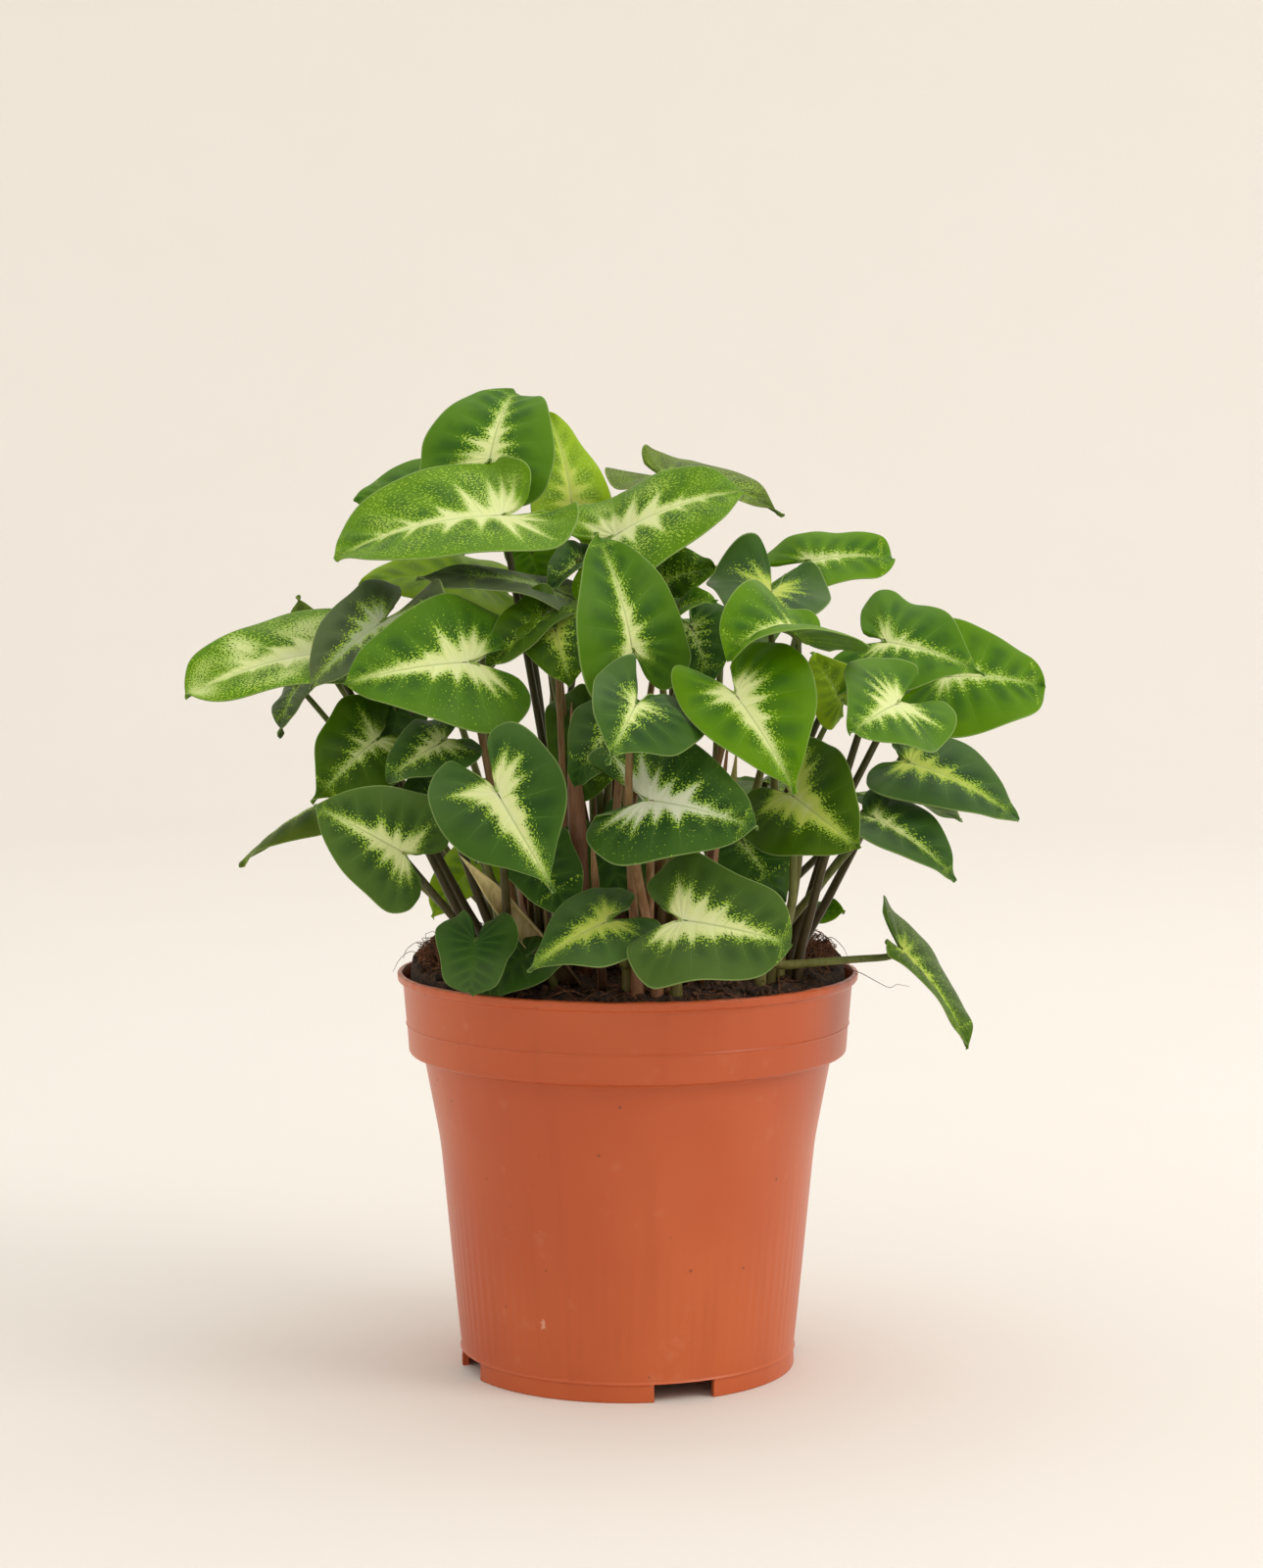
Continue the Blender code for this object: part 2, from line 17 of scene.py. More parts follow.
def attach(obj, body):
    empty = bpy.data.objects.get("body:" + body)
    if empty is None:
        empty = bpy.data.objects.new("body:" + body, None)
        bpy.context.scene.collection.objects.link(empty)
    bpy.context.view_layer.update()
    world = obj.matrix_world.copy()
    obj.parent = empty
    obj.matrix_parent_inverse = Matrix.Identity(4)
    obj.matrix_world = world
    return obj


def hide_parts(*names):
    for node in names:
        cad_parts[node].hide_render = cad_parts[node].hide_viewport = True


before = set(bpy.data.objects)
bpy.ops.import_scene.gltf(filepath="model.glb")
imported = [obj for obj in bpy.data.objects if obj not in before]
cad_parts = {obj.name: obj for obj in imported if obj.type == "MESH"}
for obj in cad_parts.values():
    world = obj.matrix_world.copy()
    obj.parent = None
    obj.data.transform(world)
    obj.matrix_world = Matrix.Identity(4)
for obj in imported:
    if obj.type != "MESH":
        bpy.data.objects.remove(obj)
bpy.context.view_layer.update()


# The studio is a pale table top that curves up into a pale wall all round, lit by large soft
# lamps. None of it belongs to the plant. The wires for shader sums are first needed here.
class Wire:
    """One socket of a material's nodes, used in sums like a number."""

    def __init__(self, tree, socket=None):
        self.tree = tree
        self.socket = socket

    def node(self, kind, settings=None, sockets=None, output=0):
        """Add a node, set its settings, fill or link its sockets, and give one output."""
        made = self.tree.nodes.new("ShaderNode" + kind)
        for name, value in (settings or {}).items():
            setattr(made, name, value)
        for key, value in (sockets or {}).items():
            if isinstance(value, Wire):
                self.tree.links.new(value.socket, made.inputs[key])
            else:
                made.inputs[key].default_value = value
        return Wire(self.tree, made.outputs[output])

    def sum_node(self, operation, first, second):
        return self.node("Math", {"operation": operation}, {0: first, 1: second})

    def __add__(self, other):
        return self.sum_node("ADD", self, other)

    def __radd__(self, other):
        return self.sum_node("ADD", other, self)

    def __sub__(self, other):
        return self.sum_node("SUBTRACT", self, other)

    def __rsub__(self, other):
        return self.sum_node("SUBTRACT", other, self)

    def __mul__(self, other):
        return self.sum_node("MULTIPLY", self, other)

    def __rmul__(self, other):
        return self.sum_node("MULTIPLY", other, self)

    def rise(self, low, high):
        """0 below low, 1 above high, and a smooth step between; low may be the larger."""
        return self.node("MapRange", {"interpolation_type": "SMOOTHSTEP"},
                         {"Value": self, "From Min": low, "From Max": high})

    def paint(self, under, over):
        """The colour under where this wire is 0, and the colour over where it is 1."""
        return self.node("Mix", {"data_type": "RGBA"}, {0: self, 6: under, 7: over}, 2)

    def stretch(self, x, y, z):
        """These coordinates, each axis multiplied."""
        return self.node("VectorMath", {"operation": "MULTIPLY"}, {0: self, 1: (x, y, z)})

    def cloud(self, scale, detail=3.0):
        """Soft noise from 0 to 1 at these coordinates."""
        return self.node("TexNoise", {}, {"Vector": self, "Scale": scale, "Detail": detail})

    def toned(self, value, hue, saturation=1.0):
        """This colour with its value and saturation multiplied, and its hue moved from 0.5."""
        return self.node("HueSaturation", {}, {"Value": value, "Hue": hue,
                                               "Saturation": saturation, "Color": self})

    def feed(self, shader, name):
        self.tree.links.new(self.socket, shader.inputs[name])

    def emboss(self, shader, strength, depth):
        """Use this wire as the fine relief of a finish."""
        bump = self.node("Bump", {}, {"Height": self, "Strength": strength, "Distance": depth})
        bump.feed(shader, "Normal")


def colour(red, green, blue):
    """A screen colour as the light values that shaders and colour layers hold."""
    parts = []
    for level in (red, green, blue):
        part = level / 255
        parts.append(part / 12.92 if part <= 0.04045 else ((part + 0.055) / 1.055) ** 2.4)
    return (*parts, 1.0)


def new_finish(name, values):
    """A finish: the material, its shader node with the values set, and the coordinates' wire."""
    material = bpy.data.materials.new(name)
    material.use_nodes = True
    shader = material.node_tree.nodes["Principled BSDF"]
    for socket, value in values.items():
        shader.inputs[socket].default_value = value
    place = Wire(material.node_tree).node("TexCoord", output=3)
    return material, shader, place


MM = 0.001


def new_piece(name, points, faces, materials):
    """An object from points in millimetres, faces, and its list of materials."""
    mesh = bpy.data.meshes.new(name)
    mesh.from_pydata([tuple(p) for p in np.asarray(points, float) * MM], [], faces)
    piece = bpy.data.objects.new(name, mesh)
    bpy.context.collection.objects.link(piece)
    for material in materials:
        mesh.materials.append(material)
    mesh.shade_smooth()
    return piece


def arc(radius, turns):
    """Flat points at one distance from a middle, at each of the turns."""
    return [(radius * math.cos(turn), radius * math.sin(turn)) for turn in turns]


def full_turn(sides):
    """Turns at even steps all the way round."""
    return [2 * math.pi * k / sides for k in range(sides)]


def joined_rings(rings, sides):
    """Faces that join each ring of points to the next."""
    faces = []
    for low in range(0, (rings - 1) * sides, sides):
        for k in range(sides):
            n = (k + 1) % sides
            faces.append((low + k, low + n, low + sides + n, low + sides + k))
    return faces


def turned(profile, segments):
    """Points and faces of an open outline (radius, height) turned about the upright axis."""
    points = []
    for radius, height in profile:
        points += [(x, y, height) for x, y in arc(radius, full_turn(segments))]
    return points, joined_rings(len(profile), segments)


FLOOR_FLAT = 1500
FLOOR_BEND = 900
FLOOR_BEND_STEPS = 16
FLOOR_SEGMENTS = 96
WALL_TOP = 1600
FLOOR_COLOUR = colour(238, 235, 231)
FLOOR_MOTTLE_COLOUR = colour(236, 233, 228)
sweep = [(1, 0), (300, 0), (900, 0)]
for k in range(FLOOR_BEND_STEPS + 1):
    lean = math.pi / 2 * k / FLOOR_BEND_STEPS
    sweep.append((FLOOR_FLAT + FLOOR_BEND * math.sin(lean), FLOOR_BEND * (1 - math.cos(lean))))
sweep.append((FLOOR_FLAT + FLOOR_BEND, WALL_TOP))
floor_finish, floor_shader, floor_place = new_finish("pale table", {"Roughness": 0.85})
floor_mottle = floor_place.cloud(9.0)
floor_mottle.paint(FLOOR_COLOUR, FLOOR_MOTTLE_COLOUR).feed(floor_shader, "Base Color")
floor = new_piece("floor", *turned(sweep, FLOOR_SEGMENTS), [floor_finish])

LAMPS = [
    # name, place, what it points at, width, power in watts, colour
    ("key lamp", (1050, -520, 900), (0, 0, 130), 620, 5.6, colour(255, 250, 242)),
    ("top lamp", (150, 250, 1500), (0, 0, 130), 900, 2, colour(250, 251, 255)),
    ("wall lamp", (900, 700, 1400), (250, 2400, 450), 1000, 4, colour(255, 252, 250)),
]
for name, place, target, width, power, tint in LAMPS:
    lamp_data = bpy.data.lights.new(name, "AREA")
    lamp_data.size = width * MM
    lamp_data.energy = power
    lamp_data.color = tint[:3]
    lamp = bpy.data.objects.new(name, lamp_data)
    lamp.location = Vector(place) * MM
    aim = Vector(target) * MM - lamp.location
    lamp.rotation_euler = aim.to_track_quat("-Z", "Y").to_euler()
    bpy.context.collection.objects.link(lamp)

SKY_COLOUR = colour(255, 250, 242)
SKY_STRENGTH = 0.995
sky = bpy.data.worlds.new("soft room light")
sky.use_nodes = True
sky.node_tree.nodes["Background"].inputs["Color"].default_value = SKY_COLOUR
sky.node_tree.nodes["Background"].inputs["Strength"].default_value = SKY_STRENGTH
bpy.context.scene.world = sky
bpy.context.scene.view_settings.view_transform = "Standard"

CAMERA_PLACE = (1.0, -844.5, 219.4)
CAMERA_DOWN_DEG = 4.58
CAMERA_LENS = 75
CAMERA_SENSOR = 36
lens = bpy.data.cameras.new("camera")
lens.lens = CAMERA_LENS
lens.sensor_width = CAMERA_SENSOR
camera = bpy.data.objects.new("camera", lens)
camera.location = Vector(CAMERA_PLACE) * MM
camera.rotation_euler = (math.radians(90 - CAMERA_DOWN_DEG), 0, 0)
bpy.context.collection.objects.link(camera)
bpy.context.scene.camera = camera


# The pot is one thin shell of terracotta-coloured plastic, moulded in one shot: a lip, a
# stepped collar, a tapering wall, and a raised floor with drain holes over a notched foot ring.
POT_OUTLINE = [
    # radius, height, corner radius
    (2, 4.9, 0), (41.9, 4.9, 0.3), (41.9, 0, 0.3), (43.6, 0, 0.4), (43.5, 4.2, 0.1),
    (43.95, 4.7, 0.1), (43.6, 5.3, 0.2), (48.9, 59.4, 4), (53.1, 81.6, 0.5), (56.9, 82.5, 0.9),
    (57.4, 89.6, 0.1), (57.75, 90.0, 0.1), (57.55, 90.3, 0.1), (58.4, 100.7, 0.7),
    (59.7, 101.3, 0.4), (59.9, 103.2, 0.4), (58.6, 103.4, 0.3), (57.3, 97.0, 2), (56.0, 84.3, 0.8),
    (51.8, 83.1, 0.8), (47.5, 59.6, 4), (42.2, 6.4, 0.8), (2, 6.4, 0),
]
POT_SEGMENTS = 360
POT_CORNER_STEPS = 4
POT_LONGEST_STEP = 9
POT_SHARP_DEG = 38
RIBS = 90
RIB_DEEP = 0.07
RIB_HEIGHTS = (6, 50)
RIB_FADE = 25
LIP_HEIGHT = 100.9
LIP_UNEVEN = 0.22
LIP_WAVES = 0.25
NOTCHES = 4
NOTCH_FIRST_DEG = -70.6
NOTCH_SIZE = (8, 16, 9.4)
NOTCH_RADIUS = 43
DRAIN_SIZE = (9, 9, 8)
DRAIN_RADIUS = 33
DRAIN_HEIGHT = 5.6


def eased(outline):
    """The outline with each corner turned into a short arc."""
    path = []
    for k, (x, z, ease) in enumerate(outline):
        if ease == 0 or k in (0, len(outline) - 1):
            path.append((x, z))
            continue
        here = Vector((x, z))
        back = Vector(outline[k - 1][:2]) - here
        ahead = Vector(outline[k + 1][:2]) - here
        start = here + back.normalized() * min(ease, back.length * 0.45)
        end = here + ahead.normalized() * min(ease, ahead.length * 0.45)
        for n in range(POT_CORNER_STEPS + 1):
            t = n / POT_CORNER_STEPS
            spot = start * (1 - t) ** 2 + here * 2 * t * (1 - t) + end * t * t
            path.append((spot.x, spot.y))
    return path


def between(limits, share):
    """The value, place or colour at a share of the way from the first limit to the second."""
    first, second = np.asarray(limits, float)
    return first + (second - first) * share


def spaced(path, longest):
    """The path with points added where two are further apart than longest."""
    filled = []
    for ends in zip(path, path[1:]):
        pieces = math.ceil(math.dist(*ends) / longest)
        for n in range(pieces):
            filled.append(tuple(between(ends, n / pieces)))
    return filled + [path[-1]]


def block(size, radius, height, turn_deg):
    """A cutter box at a distance from the axis, turned about the axis."""
    turn = math.radians(turn_deg)
    points = []
    for sx in (-0.5, 0.5):
        for sy in (-0.5, 0.5):
            for sz in (-0.5, 0.5):
                x, y = radius + sx * size[0], sy * size[1]
                points.append((x * math.cos(turn) - y * math.sin(turn),
                               x * math.sin(turn) + y * math.cos(turn), height + sz * size[2]))
    faces = [(0, 1, 3, 2), (4, 6, 7, 5), (0, 4, 5, 1), (2, 3, 7, 6), (0, 2, 6, 4), (1, 5, 7, 3)]
    return new_piece("cutter", points, faces, [])


def cut(piece, cutter):
    """Cut one closed mesh out of another."""
    step = piece.modifiers.new("Cut", "BOOLEAN")
    step.operation = "DIFFERENCE"
    step.solver = "MANIFOLD"
    step.object = cutter
    graph = bpy.context.evaluated_depsgraph_get()
    result = bpy.data.meshes.new_from_object(piece.evaluated_get(graph))
    piece.modifiers.clear()
    piece.data = result
    bpy.data.objects.remove(cutter, do_unlink=True)


def close_ends(points, faces, segments, first, last):
    """Close both ends of a turned form with a fan of faces round a middle point."""
    for start, middle, flip in ((0, first, True), (len(points) - segments, last, False)):
        for k in range(segments):
            ring = (start + k, start + (k + 1) % segments, len(points))
            faces.append(ring[::-1] if flip else ring)
        points.append(middle)


POT_COLOUR = colour(187, 83, 40)
POT_LIGHT = colour(200, 99, 52)
POT_DEEP = colour(170, 72, 34)
DUST_COLOUR = colour(226, 176, 146)
SPECK_COLOUR = colour(96, 50, 34)
SCUFF_COLOUR = colour(238, 196, 170)
SCUFF_PLACE = (-21.4, -39.7, 19.3)
pot_finish, pot_shader, pot_place = new_finish("terracotta-coloured plastic",
                                               {"Specular IOR Level": 0.42})
mottle = pot_place.cloud(16.0, 2.0)
pot_tone = mottle.rise(0.3, 0.75).paint(POT_COLOUR, POT_LIGHT)
flow_lines = pot_place.stretch(160, 160, 4).cloud(1.0, 2.0)
pot_tone = (flow_lines.rise(0.5, 0.8) * 0.22).paint(pot_tone, POT_DEEP)
dust = pot_place.cloud(130.0, 5.0)
pot_tone = (dust.rise(0.6, 0.8) * 0.1).paint(pot_tone, DUST_COLOUR)
specks = pot_place.node("TexVoronoi", {}, {"Vector": pot_place, "Scale": 210.0})
pick = pot_place.cloud(60.0, 2.0).rise(0.56, 0.62)
pot_tone = (specks.rise(0.12, 0.06) * pick * 0.6).paint(pot_tone, SPECK_COLOUR)
from_scuff = pot_place.node("VectorMath", {"operation": "DISTANCE"},
                            {0: pot_place, 1: tuple(v * MM for v in SCUFF_PLACE)}, 1)
torn = pot_place.cloud(900.0, 3.0)
scuff = (from_scuff + torn * 0.004).rise(0.0029, 0.0024)
pot_tone = (scuff * 0.45).paint(pot_tone, SCUFF_COLOUR)
pot_tone.feed(pot_shader, "Base Color")
(mottle * 0.08 + 0.3 + scuff * 0.2).feed(pot_shader, "Roughness")
pot_relief = flow_lines * 1.6 + pot_place.cloud(700.0, 2.0) * 0.12
pot_relief.emboss(pot_shader, 0.1, 0.0005)

outline = spaced(eased(POT_OUTLINE), POT_LONGEST_STEP)
points, faces = turned(outline, POT_SEGMENTS)
for k, (x, y, z) in enumerate(points):
    radius = math.hypot(x, y)
    wall_middle = 43.3 + 0.09 * (z - 5)
    if RIB_HEIGHTS[0] < z < RIB_HEIGHTS[1] and radius > wall_middle:
        fade = min(1, (RIB_HEIGHTS[1] - z) / RIB_FADE)
        swell = RIB_DEEP * math.cos(RIBS * math.atan2(y, x)) * fade
        points[k] = (x * (1 + swell / radius), y * (1 + swell / radius), z)
    elif z > LIP_HEIGHT:
        wander = LIP_UNEVEN * noise.noise(Vector((x * LIP_WAVES, y * LIP_WAVES, 0)))
        points[k] = (x * (1 + wander / radius), y * (1 + wander / radius), z + wander)
close_ends(points, faces, POT_SEGMENTS, (0, 0, outline[0][1]), (0, 0, outline[-1][1]))
pot = new_piece("pot_shell", points, faces, [pot_finish])
for notch in range(NOTCHES):
    angle = NOTCH_FIRST_DEG + notch * 360 / NOTCHES
    cut(pot, block(NOTCH_SIZE, NOTCH_RADIUS, 0, angle))
    cut(pot, block(DRAIN_SIZE, DRAIN_RADIUS, DRAIN_HEIGHT, angle))
pot.data.shade_smooth()
pot.data.set_sharp_from_angle(angle=math.radians(POT_SHARP_DEG))
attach(pot, "root")
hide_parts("pot")


# The soil is a heap of dark coir and peat that fills the pot: a lumpy top, loose crumbs, and
# pale brown fibres that lie across it. It only rests in the pot, held by the wall.
SOIL_WALL = [(41.8, 6.8), (47.1, 59.6), (51.2, 83.3), (56.9, 98.6)]
SOIL_RADIUS = 56.9
SOIL_SEGMENTS = 200
SOIL_RINGS = 64
SOIL_LEVEL = 103.5
REAR_RISE = 4
FRONT_DROP = 4
SIDE_HEAP = 1.2
SIDE_HEAP_PLACE = (42, 10)
LUMP_HEIGHT = 0.6
CLOD_NOISES = ((0.22, 3), (0.6, 9), (1.7, 5))


def ground(x, y):
    """Height of the soil's top before its clods: it rises to the rear and sinks at the wall."""
    radius = math.hypot(x, y)
    rear = 1 / (1 + math.exp(-(y + 25) / 10))
    lump = math.sin(x * 0.19 + 1.3) * math.cos(y * 0.16 + 0.4) + 0.6 * math.sin(x * 0.09 - y * 0.13)
    from_heap = (abs(x) - SIDE_HEAP_PLACE[0]) ** 2 + (y - SIDE_HEAP_PLACE[1]) ** 2
    return (SOIL_LEVEL + REAR_RISE * rear - (FRONT_DROP - 3 * rear) * (radius / 56) ** 5
            + SIDE_HEAP * math.exp(-from_heap / 200)
            + LUMP_HEIGHT * lump * max(0.0, 1 - (radius / 57) ** 4))


def clods(x, y):
    """Height that clods and hollows add to the soil's top."""
    coarse, middle, fine = (noise.noise(Vector((x * scale, y * scale, layer)))
                            for scale, layer in CLOD_NOISES)
    return 1.9 * coarse + 1.2 * abs(middle) + 0.6 * fine


def soil_top(x, y):
    """Height of the soil's top with its clods, which flatten out at the wall."""
    settle = min(1, max(0, SOIL_RADIUS - math.hypot(x, y)) / 3)
    return ground(x, y) + settle * clods(x, y)


SOIL_DARK = colour(38, 26, 19)
SOIL_BROWN = colour(92, 64, 44)
SOIL_PATCH = colour(58, 40, 29)
FIBRE_DARK = colour(78, 46, 29)
FIBRE_LIGHT = colour(150, 98, 64)
soil_finish, soil_shader, soil_place = new_finish("dark coir", {"Roughness": 0.95})
crumb_shade = soil_place.cloud(520.0, 4.0)
soil_tone = crumb_shade.rise(0.4, 0.75).paint(SOIL_DARK, SOIL_BROWN)
soil_patch = soil_place.cloud(60.0, 2.0)
soil_tone = (soil_patch.rise(0.45, 0.7) * 0.5).paint(soil_tone, SOIL_PATCH)
layer_shade = soil_place.node("VertexColor", {"layer_name": "tint"})
soil_tone = soil_place.node("Mix", {"data_type": "RGBA", "blend_type": "MULTIPLY"},
                            {0: 1.0, 6: soil_tone, 7: layer_shade}, 2)
soil_tone.feed(soil_shader, "Base Color")
soil_grain = soil_place.cloud(900.0, 3.0)
soil_grain.emboss(soil_shader, 0.6, 0.0006)
fibre_finish, fibre_shader, fibre_place = new_finish("coir fibre", {"Roughness": 0.8})
fibre_tone = fibre_place.cloud(300.0).rise(0.3, 0.7)
fibre_tone.paint(FIBRE_DARK, FIBRE_LIGHT).feed(fibre_shader, "Base Color")


def along_path(path, outlines, across=(1.0, 0.0, 0.0)):
    """A bar along a path, closed at both ends, with an outline (across, over) for each spot."""
    path = np.asarray(path, float)
    across = np.array(across)
    sides = len(outlines[0])
    points = []
    for k, spot in enumerate(path):
        heading = path[min(k + 1, len(path) - 1)] - path[max(k - 1, 0)]
        heading /= np.linalg.norm(heading)
        across = across - heading * across.dot(heading)
        across /= np.linalg.norm(across)
        over = np.cross(heading, across)
        for u, v in outlines[k]:
            points.append(spot + across * u + over * v)
    faces = joined_rings(len(path), sides)
    faces.append(tuple(range(sides))[::-1])
    faces.append(tuple(range(len(points) - sides, len(points))))
    return points, faces


def rod(path, radii, sides):
    """A round bar along a path, with a radius for each spot of the path."""
    return along_path(path, [arc(radius, full_turn(sides)) for radius in radii])


def point_layer(piece, name, values):
    """Give each point of a piece a number or a colour, in a layer that its finish reads."""
    values = np.asarray(values, np.float32)
    if values.ndim == 1:
        layer = piece.data.attributes.new(name, "FLOAT", "POINT")
        layer.data.foreach_set("value", values)
    else:
        layer = piece.data.color_attributes.new(name, "FLOAT_COLOR", "POINT")
        layer.data.foreach_set("color", values.ravel())


def gather(points, faces, more_points, more_faces):
    """Add one form's points and faces to those of a larger piece."""
    first = len(points)
    points += [tuple(p) for p in more_points]
    faces += [tuple(first + n for n in face) for face in more_faces]


def spot_in_disc(draw, reach):
    """A random spot, equally likely anywhere inside a circle round the axis."""
    radius = reach * math.sqrt(draw.random())
    turn = draw.random() * 2 * math.pi
    return radius * math.cos(turn), radius * math.sin(turn)


top_rings = [(SOIL_RADIUS * (1 - k / SOIL_RINGS), 0) for k in range(1, SOIL_RINGS)]
points, faces = turned(SOIL_WALL + top_rings, SOIL_SEGMENTS)
for k in range(len(SOIL_WALL) * SOIL_SEGMENTS, len(points)):
    x, y, _ = points[k]
    points[k] = (x, y, soil_top(x, y))
close_ends(points, faces, SOIL_SEGMENTS, (0, 0, SOIL_WALL[0][1]), (0, 0, ground(0, 0)))
tints = [(1, 1, 1, 1)] * len(points)

CRUMBS = 1500
CRUMB_SIZE = (0.35, 1.5)
CRUMB_REACH = 55
CRUMB_ROUGH = 0.21
draw = np.random.default_rng(11)
ball = bmesh.new()
bmesh.ops.create_icosphere(ball, subdivisions=1, radius=1)
ball_points = np.array([tuple(v.co) for v in ball.verts])
ball_faces = [tuple(v.index for v in face.verts) for face in ball.faces]
ball.free()
for _ in range(CRUMBS):
    x, y = spot_in_disc(draw, CRUMB_REACH)
    size = between(CRUMB_SIZE, draw.random() ** 2.5)
    shape = ball_points * (1 + CRUMB_ROUGH * draw.standard_normal(ball_points.shape))
    shape = shape * size * (0.6 + 0.8 * draw.random(3))
    gather(points, faces, shape + (x, y, soil_top(x, y) + size * 0.25), ball_faces)
    shade = 0.7 + 1.1 * draw.random()
    tints += [(shade, shade * 0.96, shade * 0.9, 1)] * len(shape)

FIBRES = 3600
FIBRE_RADIUS = (0.07, 0.17)
FIBRE_LENGTH = (4, 15)
FIBRE_BEND = 1.2
FIBRE_STEPS = 6
FIBRE_REACH = 54.5
FIBRE_SUNK = 0.4
FIBRE_LIMIT = 55
FIBRE_TURN_BACK = 2.2
TUFTS = [(-47, 0), (-40, 14), (43, 12), (46, 2), (35, 20)]
TUFT_SPREAD = (4.5, 7)
TUFT_HUMP = (0.5, 5)
LOOSE_REACH = 54
LOOSE_HUMP = (0.3, 1.9)
soil_faces = len(faces)
for number in range(FIBRES):
    heading = draw.random() * 2 * math.pi
    bend = (draw.random() - 0.5) * FIBRE_BEND
    step = between(FIBRE_LENGTH, draw.random()) / FIBRE_STEPS
    if number % 3:
        x, y = np.array(TUFTS[number % len(TUFTS)]) + TUFT_SPREAD * draw.standard_normal(2)
        hump = between(TUFT_HUMP, draw.random() ** 3)
    else:
        x, y = spot_in_disc(draw, LOOSE_REACH)
        hump = between(LOOSE_HUMP, draw.random() ** 2)
    inside = min(1, FIBRE_REACH / math.hypot(x, y))
    x, y = x * inside, y * inside
    hump *= min(1, (58 - math.hypot(x, y)) / 9)
    path = []
    for k in range(FIBRE_STEPS + 1):
        lie = soil_top(x, y) - FIBRE_SUNK
        path.append((x, y, lie + hump * math.sin(math.pi * k / FIBRE_STEPS)))
        heading += bend
        ahead = math.hypot(x + step * math.cos(heading), y + step * math.sin(heading))
        if ahead > FIBRE_LIMIT:
            heading += FIBRE_TURN_BACK
        x += step * math.cos(heading)
        y += step * math.sin(heading)
    width = between(FIBRE_RADIUS, draw.random() ** 2)
    gather(points, faces, *rod(path, [width] * FIBRE_STEPS + [width * 0.5], 3))


def rounded(rows, k, share):
    """A spot at a share of the way from row k to the next, on a rounded line through the rows."""
    last = len(rows) - 1
    a, b, c, d = (np.asarray(rows[min(max(n, 0), last)], float) for n in range(k - 1, k + 3))
    return 0.5 * (2 * b + (c - a) * share + (2 * a - 5 * b + 4 * c - d) * share * share
                  + (3 * b - a - 3 * c + d) * share ** 3)


PATH_STEPS = 5


def smooth_path(knots):
    """A rounded path through the knots."""
    path = []
    for k in range(len(knots) - 1):
        for n in range(PATH_STEPS):
            path.append(rounded(knots, k, n / PATH_STEPS))
    path.append(np.asarray(knots[-1], float))
    return path


HAIR_RADII = (0.14, 0.05)
HAIRS = [
    # loose roots that curl over the rim at the right, at the left, and at the front
    [(54, -3, 104.5), (57.6, -6, 104), (60.5, -7, 103.2), (64, -8, 101.4), (67.5, -9, 99.8),
     (69.5, -9, 100.6), (72.5, -10, 100.2)],
    [(50, 8, 108), (53, 6, 111), (56, 4, 109), (57.4, 2, 106.5)],
    [(45, 14, 109), (48, 12, 112), (52, 10, 111), (53.5, 8, 108)],
    [(-52, 2, 105), (-56, 0, 108), (-59, -2, 106.5), (-61, -3, 103)],
    [(-50, 6, 106), (-54, 4, 110), (-57.5, 2, 108.5), (-58.5, 1, 106)],
    [(18, -50, 103), (24, -54, 105), (28, -56, 103)],
    [(-20, -50, 103), (-14, -54, 105.5), (-8, -55, 103)],
    [(-6, -52, 102.5), (0, -54, 105), (3, -55, 102.5)],
]
for knots in HAIRS:
    path = smooth_path(knots)
    gather(points, faces, *rod(path, np.linspace(*HAIR_RADII, len(path)), 4))
tints += [(1, 1, 1, 1)] * (len(points) - len(tints))
soil = new_piece("soil_heap", points, faces, [soil_finish, fibre_finish])
point_layer(soil, "tint", tints)
kinds = [0] * soil_faces + [1] * (len(faces) - soil_faces)
soil.data.polygons.foreach_set("material_index", kinds)
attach(soil, "root")
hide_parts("soil")


# Each leaf is one grown piece: a heart-shaped blade, cream-starred over green, on its own thin
# stalk that stands in the soil. Each row gives a blade's joint, tip and facing, then its look.
@dataclass(frozen=True)
class Leaf:
    """One leaf. A pair holds one value for the left half of its blade and one for the right."""

    name: str
    joint: tuple
    tip: tuple
    face: tuple
    # half width, and length of the lobes behind the joint, in blade lengths
    width: float = 0.54
    lobes: tuple = (0.5, 0.5)
    # how far the halves fold up, droop outwards, curl down to the tip, and the lobes lift
    fold: tuple = (10, 10)
    roll: float = 22
    curl: float = 30
    lift: tuple = (0, 0)
    # 0 for a blunt tip and 1 for a long one, the gap and spread of the lobes, and each half's width
    point: float = 0.5
    gap: float = 0.03
    spread: float = 0.05
    halves: tuple = (1.0, 1.0)
    # colours, the star's half width, reach and arms, how dense its dots are, and the stalk's kind
    green: str = "mid"
    pale: str = "cream"
    star: tuple = (0, 0, 0)
    fleck: float = 0
    stalk: str = "green"


